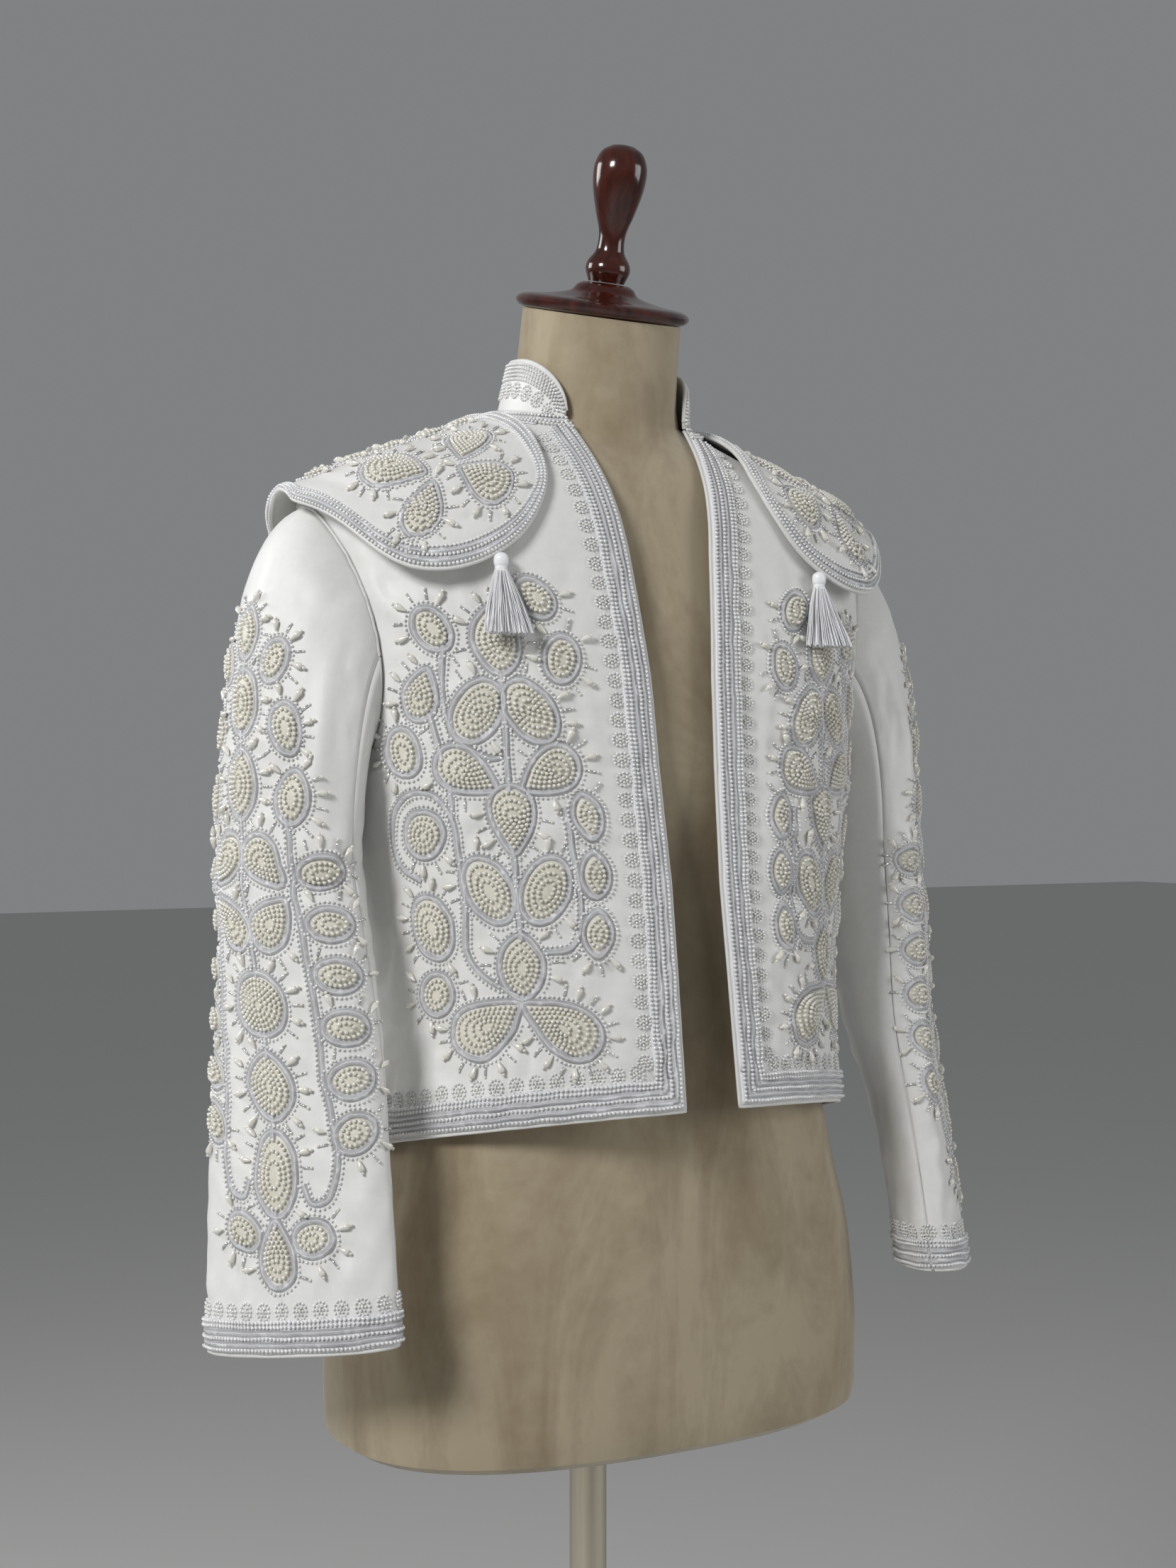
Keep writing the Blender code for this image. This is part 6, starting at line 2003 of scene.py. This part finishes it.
@dataclass
class Wings:
    """The stiff shoulder wings with their braid borders and embroidery."""

    room: Workroom
    rows: int = 46
    columns: int = 57

    @staticmethod
    def ridge_height(x: float) -> float:
        """The height of the shoulder's ridge under the wing."""
        stack = Profile(JACKET)
        target = min(max(x, COLLAR_BASE.half_width), SHOULDER_END)
        place = bisect(lambda p: stack.at(p).half_width > target, SHOULDER_ROW, float(len(JACKET) - 1))
        return stack.at(place).z + 1.1 * CLOTH - SHOULDER_SLOPE * max(0.0, x - SHOULDER_END)

    def panel(self) -> Panel:
        """The left wing: from its front edge over the ridge to its back edge, row 0 at the tip."""
        skin = Skin(4.0)
        stack = Profile(WING)
        grid = []
        half_count = self.columns // 2 + 1
        for place in np.linspace(0.0, len(WING) - 1.0, self.rows):
            section = stack.at(place)
            ridge = np.array((section.ridge_x, WING_CENTRE_Y, self.ridge_height(section.ridge_x) + WING_CLEARANCE))
            f = np.linspace(0.0, 1.0, half_count)[:, None]
            edge = np.array((section.edge_x, section.edge_y, section.edge_z))
            corner = np.array((0.5 * (section.edge_x + section.ridge_x), WING_FULLNESS * section.edge_y,
                               ridge[2] - 0.002))
            half = (1 - f) ** 2 * edge + 2 * f * (1 - f) * corner + f**2 * ridge
            back = half[-2::-1] * np.array((1.0, -1.0, 1.0)) + np.array((0.0, 2.0 * WING_CENTRE_Y, 0.0))
            points = np.concatenate((half, back))
            off_ridge = np.minimum(1.0, np.abs(np.linspace(-1.0, 1.0, len(points))) * 6.0)
            gaps = WING_CLEARANCE + (WING_DRAPE - WING_CLEARANCE) * off_ridge
            grid.append([skin.lifted(point, gap) for point, gap in zip(points, gaps)])
        points = np.array(grid)[::-1]
        for _ in range(8):
            rims = points[:, (0, -1)]
            points[1:-1, (0, -1)] = 0.25 * (rims[:-2] + rims[2:]) + 0.5 * rims[1:-1]
        for _ in range(3):
            inner = 0.25 * (points[:-2, 1:-1] + points[2:, 1:-1] + points[1:-1, :-2] + points[1:-1, 2:])
            points[1:-1, 1:-1] = 0.5 * (points[1:-1, 1:-1] + inner)
        return Panel(points, WING_WALL - 0.0004)

    @staticmethod
    def border_line(panel: Panel, inset: float) -> Laid:
        """A closed line at a distance inside the wing's outline."""
        across, up = panel.width[:, 0], panel.up[-1]
        ranks = np.linspace(0.0, 1.0, panel.rows)
        files = np.linspace(0.0, 1.0, panel.columns)
        start = inset / float(up[0]), 1.0 - inset / float(up[0])
        climb = np.linspace(start[0], start[1], 70)
        left = [(inset / np.interp(r, ranks, across), r) for r in climb]
        sideways = np.linspace(left[-1][0], 1.0 - left[-1][0], 90)
        top = [(s, 1.0 - inset / np.interp(s, files, up)) for s in sideways]
        right = [(1.0 - inset / np.interp(r, ranks, across), r) for r in climb[::-1]]
        sideways = np.linspace(1.0 - left[0][0], left[0][0], 60)
        foot = [(s, inset / np.interp(s, files, up)) for s in sideways]
        path = np.array(left + top + right + foot)
        weights = np.ones(9) / 9.0
        padded = np.vstack((path[-4:], path, path[:4]))
        rounded = np.column_stack([np.convolve(padded[:, k], weights, "valid") for k in range(2)])
        return panel.lay(pull_round(rounded), Chart.GRID)

    def pattern(self, panel: Panel) -> Pattern:
        """Four petals round a middle on each half, and small ovals along the ridge.

        Args:
            panel: The wing.

        Returns:
            The pattern, in metres across from the ridge and metres up from the tip.
        """
        length = float(panel.up[-1, panel.columns // 2])
        reach = 0.5 * float(panel.width.max()) - 0.023
        LOG.info("The wing is %.3f m long and reaches %.3f m from its ridge", length, reach)
        petals = []
        for side in (-1.0, 1.0):
            middle, height = 0.086 * side, 0.54 * length
            for dx, dz, long_way, wide, lean in ((0.021, 0.024, 0.0195, 0.0145, 132.0),
                                                 (0.021, -0.024, 0.0170, 0.0135, 48.0),
                                                 (-0.022, 0.029, 0.0215, 0.0150, 232.0),
                                                 (-0.022, -0.030, 0.0235, 0.0160, -52.0)):
                petals.append(Petal(middle + side * dx, height + dz, long_way, wide, side * lean, Shape.DROP))
        petals.extend(Petal(0.0, share * length, 0.0110, 0.0075, 0.0) for share in (0.18, 0.36, 0.54, 0.72, 0.88))
        return Pattern(petals, (), ribbon=0.0042, limits=(-reach, reach, 0.022, length - 0.020), ray_gap=0.0112)

    def build(self) -> None:
        """Make both wings."""
        room = self.room
        panel = self.panel()
        chart = WingChart(panel.points, panel.wall, centred=True)
        pattern = self.pattern(chart)
        for side in SIDES:
            cloth = finish_piece(shell(f"wing_cloth_{side}", panel, room.materials["ivory_satin"], side), "satin",
                                 f"shoulder_wing_{side}")
            sewn = room.embroider("wing", chart, pattern, side)
            rows = (BorderRow(0.0022, "seed"), BorderRow(0.0056, "cord"), BorderRow(0.0090, "seed"),
                    BorderRow(0.0122, "cord"), BorderRow(0.0152, "seed"))
            seeds = [self.border_line(panel, row.inset) for row in rows if row.kind == "seed"]
            cords = [self.border_line(panel, row.inset) for row in rows if row.kind == "cord"]
            sewn.append(room.bead_rows(f"wing_seed_rows_{side}", [line.raised(0.0004) for line in seeds], side,
                                       SEED, "seed_bead"))
            braid = room.ribbons(f"wing_cords_{side}", [line.raised(0.0002) for line in cords], side, 0.0060, 0.0024,
                                 "corded_outline")
            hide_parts(f"wing_band_{side}")
            sewn.append(braid)
            edge = self.border_line(panel, 0.0).raised(-0.5 * panel.wall)
            sewn.append(room.ribbons(f"wing_piping_{side}", [edge], side, 0.0034, 0.0034, "satin_piping", 8))
            declare(cloth, panel)


class WingChart(Panel):
    """A wing whose heights are counted in metres along it from the tip."""

    def lay(self, flat: np.ndarray, chart: Chart = Chart.HEIGHT) -> Laid:
        """Carry flat places onto the wing.

        Args:
            flat: Metres from the ridge and metres from the tip.
            chart: Not used, because a wing has one chart.

        Returns:
            The places on its outer side.
        """
        ridge = self.up[:, self.columns // 2]
        rank = np.interp(flat[:, 1], ridge, np.linspace(0.0, 1.0, self.rows))
        rows = np.clip((rank * (self.rows - 1)).round().astype(int), 0, self.rows - 1)
        shares = np.array([np.interp(x, self.across[r], self.share[r]) for x, r in zip(flat[:, 0], rows)])
        return super().lay(np.column_stack((shares, rank)), Chart.GRID)


@dataclass
class Tassels:
    """Two tassels of loose threads under bound heads."""

    room: Workroom
    threads: int = 250

    def build(self) -> None:
        """Make both tassels."""
        for side in SIDES:
            self.build_one(side)

    def build_one(self, side: str) -> None:
        """Make one tassel: threads, head and binding.

        Args:
            side: Which half.
        """
        room, place = self.room, np.array(TASSEL_PLACE)
        chance = np.random.default_rng(31)
        lines = []
        for _ in range(self.threads):
            angle, share = chance.uniform(0.0, 2.0 * math.pi), math.sqrt(chance.uniform(0.0, 1.0))
            x, y = share * math.cos(angle), share * math.sin(angle)
            root = np.array((x * 0.0036, y * 0.0036, -0.010))
            reach = TASSEL_SKIRT * chance.uniform(0.965, 1.0) * (1.0 - 0.04 * share**2)
            tip = np.array((x * TASSEL_HALF_WIDTH, y * TASSEL_HALF_DEPTH + TASSEL_FORWARD,
                            -TASSEL_HEAD_HEIGHT - reach))
            f = np.linspace(0.0, 1.0, 7)[:, None]
            spread = root + (tip - root) * np.column_stack((f**0.85, f**1.0, f))
            sway = np.sin(f * math.pi * chance.uniform(1.0, 2.4) + chance.uniform(0.0, 6.0)) * f * 0.0007
            spread[:, 0:1] += sway
            spread[:, 1:2] += sway * chance.uniform(-1.0, 1.0)
            lines.append(Laid(place + spread, np.tile((0.0, -1.0, 0.05), (7, 1))))
        skirt = room.ribbons(f"tassel_threads_{side}", lines, side, 0.00068, 0.00068, "tassel_thread", 3, 0.0075)
        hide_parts(f"tassel_{side}")
        radius = TASSEL_HEAD_RADIUS
        head = ((0.0, 0.0), (0.50 * radius, -0.0004), (0.92 * radius, -0.0022), (1.04 * radius, -0.0048),
                (0.98 * radius, -0.0082), (0.80 * radius, -0.0098), (0.78 * radius, -0.0110),
                (0.96 * radius, -0.0128), (0.70 * radius, -0.0140), (0.0, -0.0140))
        centre = place * np.array((-1.0 if side == "right" else 1.0, 1.0, 1.0))
        mesh = turned_mesh(head, centre, 0.0, 28, 0.0006)
        finish_piece(new_object(f"tassel_head_{side}", mesh, room.materials["tassel_thread"], 60.0), "silk")
        turns = np.linspace(0.0, 2.0 * math.pi * 4.0, 120)
        coil = np.column_stack((0.82 * radius * np.cos(turns), 0.82 * radius * np.sin(turns),
                                -0.0096 - 0.0018 * turns / turns[-1]))
        away = np.column_stack((np.cos(turns), np.sin(turns), np.zeros_like(turns)))
        room.ribbons(f"tassel_binding_{side}", [Laid(place + coil, away)], side, 0.0007, 0.0007,
                     "tassel_thread", 5, 0.0012)


@dataclass
class Stand:
    """The dress form, its wooden cap and handle, the pole and the base."""

    room: Workroom
    columns: int = 96
    step: float = 0.012

    def build(self) -> None:
        """Make the stand's pieces."""
        room = self.room
        stack = Profile(FORM)
        fine = np.linspace(0.0, len(FORM) - 1.0, 900)
        column = np.vstack([round_cut(stack.at(place), np.array([35.0])) for place in fine])
        travelled = lengths_along(column)
        places = np.interp(np.linspace(0.0, travelled[-1], int(travelled[-1] / self.step)), travelled, fine)
        turns = np.linspace(0.0, 360.0, self.columns, endpoint=False)
        grid = np.array([round_cut(stack.at(place), turns) for place in places])
        mesh = grid_mesh(grid, None, closed=True)
        shape = bmesh.new()
        shape.from_mesh(mesh)
        shape.verts.ensure_lookup_table()
        count = self.columns
        for ring in (shape.verts[:count], shape.verts[-count:]):
            shape.faces.new(ring)
        bmesh.ops.recalc_face_normals(shape, faces=shape.faces)
        shape.to_mesh(mesh)
        shape.free()
        finish_piece(new_object("form_cover", mesh, room.materials["taupe_suede"]), "suede", "dress_form")
        top = FORM[-1]
        lean = np.array((0.0, -math.sin(math.radians(NECK_TILT)), math.cos(math.radians(NECK_TILT))))
        seat = np.array((0.0, top.side_y, top.z))
        cap_place, finial_place = seat + lean * SEAM, seat + lean * (CAP_PROFILE[0][1] + 2.0 * SEAM)
        for name, profile, place, tilt, fine, finish, node in (
                ("cap_turned", CAP_PROFILE, cap_place, NECK_TILT, 0.0024, "red_brown_wood", "neck_cap"),
                ("finial_turned", FINIAL_PROFILE, finial_place, NECK_TILT, 0.0024, "red_brown_wood", "finial"),
                ("base_plate", BASE_PROFILE, (0.0, 0.0, 0.0), 0.0, 0.0060, "black_base", "stand_base")):
            piece = new_object(name, turned_mesh(profile, place, tilt, 64, fine), room.materials[finish])
            finish_piece(piece, room.slots[finish], node)
        low, high = BASE_PROFILE[0][1] + SEAM, FORM[0].z - SEAM
        chamfer = 0.001
        pole = ((0.0, high), (POLE_RADIUS - chamfer, high), (POLE_RADIUS, high - chamfer),
                (POLE_RADIUS, low + chamfer), (POLE_RADIUS - chamfer, low), (0.0, low))
        mesh = turned_mesh(pole, (0.0, 0.0, 0.0), 0.0, 48, 0.01)
        finish_piece(new_object("pole_tube", mesh, room.materials["polished_pole"], 30.0), "pole_metal",
                     "stand_pole")


@dataclass
class Studio:
    """Floor, light and the camera at the photograph's angle."""

    azimuth: float = -30.0
    distance: float = 1.65
    height: float = 1.21
    lens: float = 50.0
    horizon_drop: float = 0.0041
    image: tuple[int, int] = (1659, 2212)

    def build(self) -> None:
        """Set the stage, with plain colours so that white cloth keeps its modelling."""
        bpy.context.scene.view_settings.view_transform = "Standard"
        self.build_floor()
        self.build_lights()
        self.build_camera()

    def build_floor(self) -> None:
        """A plain pale floor."""
        bpy.ops.mesh.primitive_plane_add(size=40.0)
        floor = bpy.context.object
        floor.name = "studio_floor"
        material = bpy.data.materials.new("pale_floor")
        material.use_nodes = True
        shader = material.node_tree.nodes["Principled BSDF"]
        shader.inputs["Base Color"].default_value = (0.62, 0.62, 0.60, 1.0)
        shader.inputs["Roughness"].default_value = 0.85
        floor.data.materials.append(material)
        floor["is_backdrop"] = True

    def build_lights(self) -> None:
        """Soft boxes and an even sky."""
        world = bpy.data.worlds.new("studio_air")
        world.use_nodes = True
        air = world.node_tree.nodes["Background"]
        air.inputs["Color"].default_value = (0.90, 0.92, 0.95, 1.0)
        air.inputs["Strength"].default_value = 0.24
        bpy.context.scene.world = world
        target = np.array((0.0, 0.0, 1.2))
        for name, place, size, power in (("key", (-2.3, -1.1, 2.5), 0.7, 50.0), ("fill", (2.3, -1.9, 1.8), 1.5, 26.0),
                                         ("rim", (-1.7, 1.6, 2.3), 1.0, 22.0)):
            light = bpy.data.lights.new(name, "AREA")
            light.energy = power
            light.size = size
            lamp = bpy.data.objects.new(name, light)
            bpy.context.scene.collection.objects.link(lamp)
            lamp.location = place
            self.aim(lamp, target - np.array(place))

    @staticmethod
    def aim(thing: bpy.types.Object, direction: np.ndarray) -> None:
        """Turn a light so that it shines along a direction."""
        x, y, z = direction / np.linalg.norm(direction)
        thing.rotation_euler = (math.acos(-z), 0.0, math.atan2(y, x) - math.pi / 2.0)

    def build_camera(self) -> None:
        """The photograph's camera: level, a step to the wearer's right of the front."""
        turn = math.radians(self.azimuth)
        lens = bpy.data.cameras.new("photo_camera")
        lens.lens = self.lens
        lens.sensor_width = 36.0
        lens.sensor_fit = "AUTO"
        lens.shift_y = self.horizon_drop
        camera = bpy.data.objects.new("photo_camera", lens)
        bpy.context.scene.collection.objects.link(camera)
        camera.location = (self.distance * math.sin(turn), -self.distance * math.cos(turn), self.height)
        camera.rotation_euler = (math.pi / 2.0, 0.0, turn)
        bpy.context.scene.camera = camera


def corners() -> list[list[float]]:
    """The whole object's lowest and highest corner, as plain lists."""
    return [[float(value) for value in corner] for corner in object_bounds()]


def main() -> None:
    """Load the frame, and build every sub-assembly around it."""
    logging.basicConfig(level=logging.INFO, format="%(message)s")
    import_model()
    Studio().build()
    room = Workroom()
    for assembly in (Stand(room), Body(room), Sleeves(room), Collar(room), Wings(room), Tassels(room)):
        assembly.build()
        LOG.info("%s is in place", type(assembly).__name__)


if __name__ == "__main__":
    main()
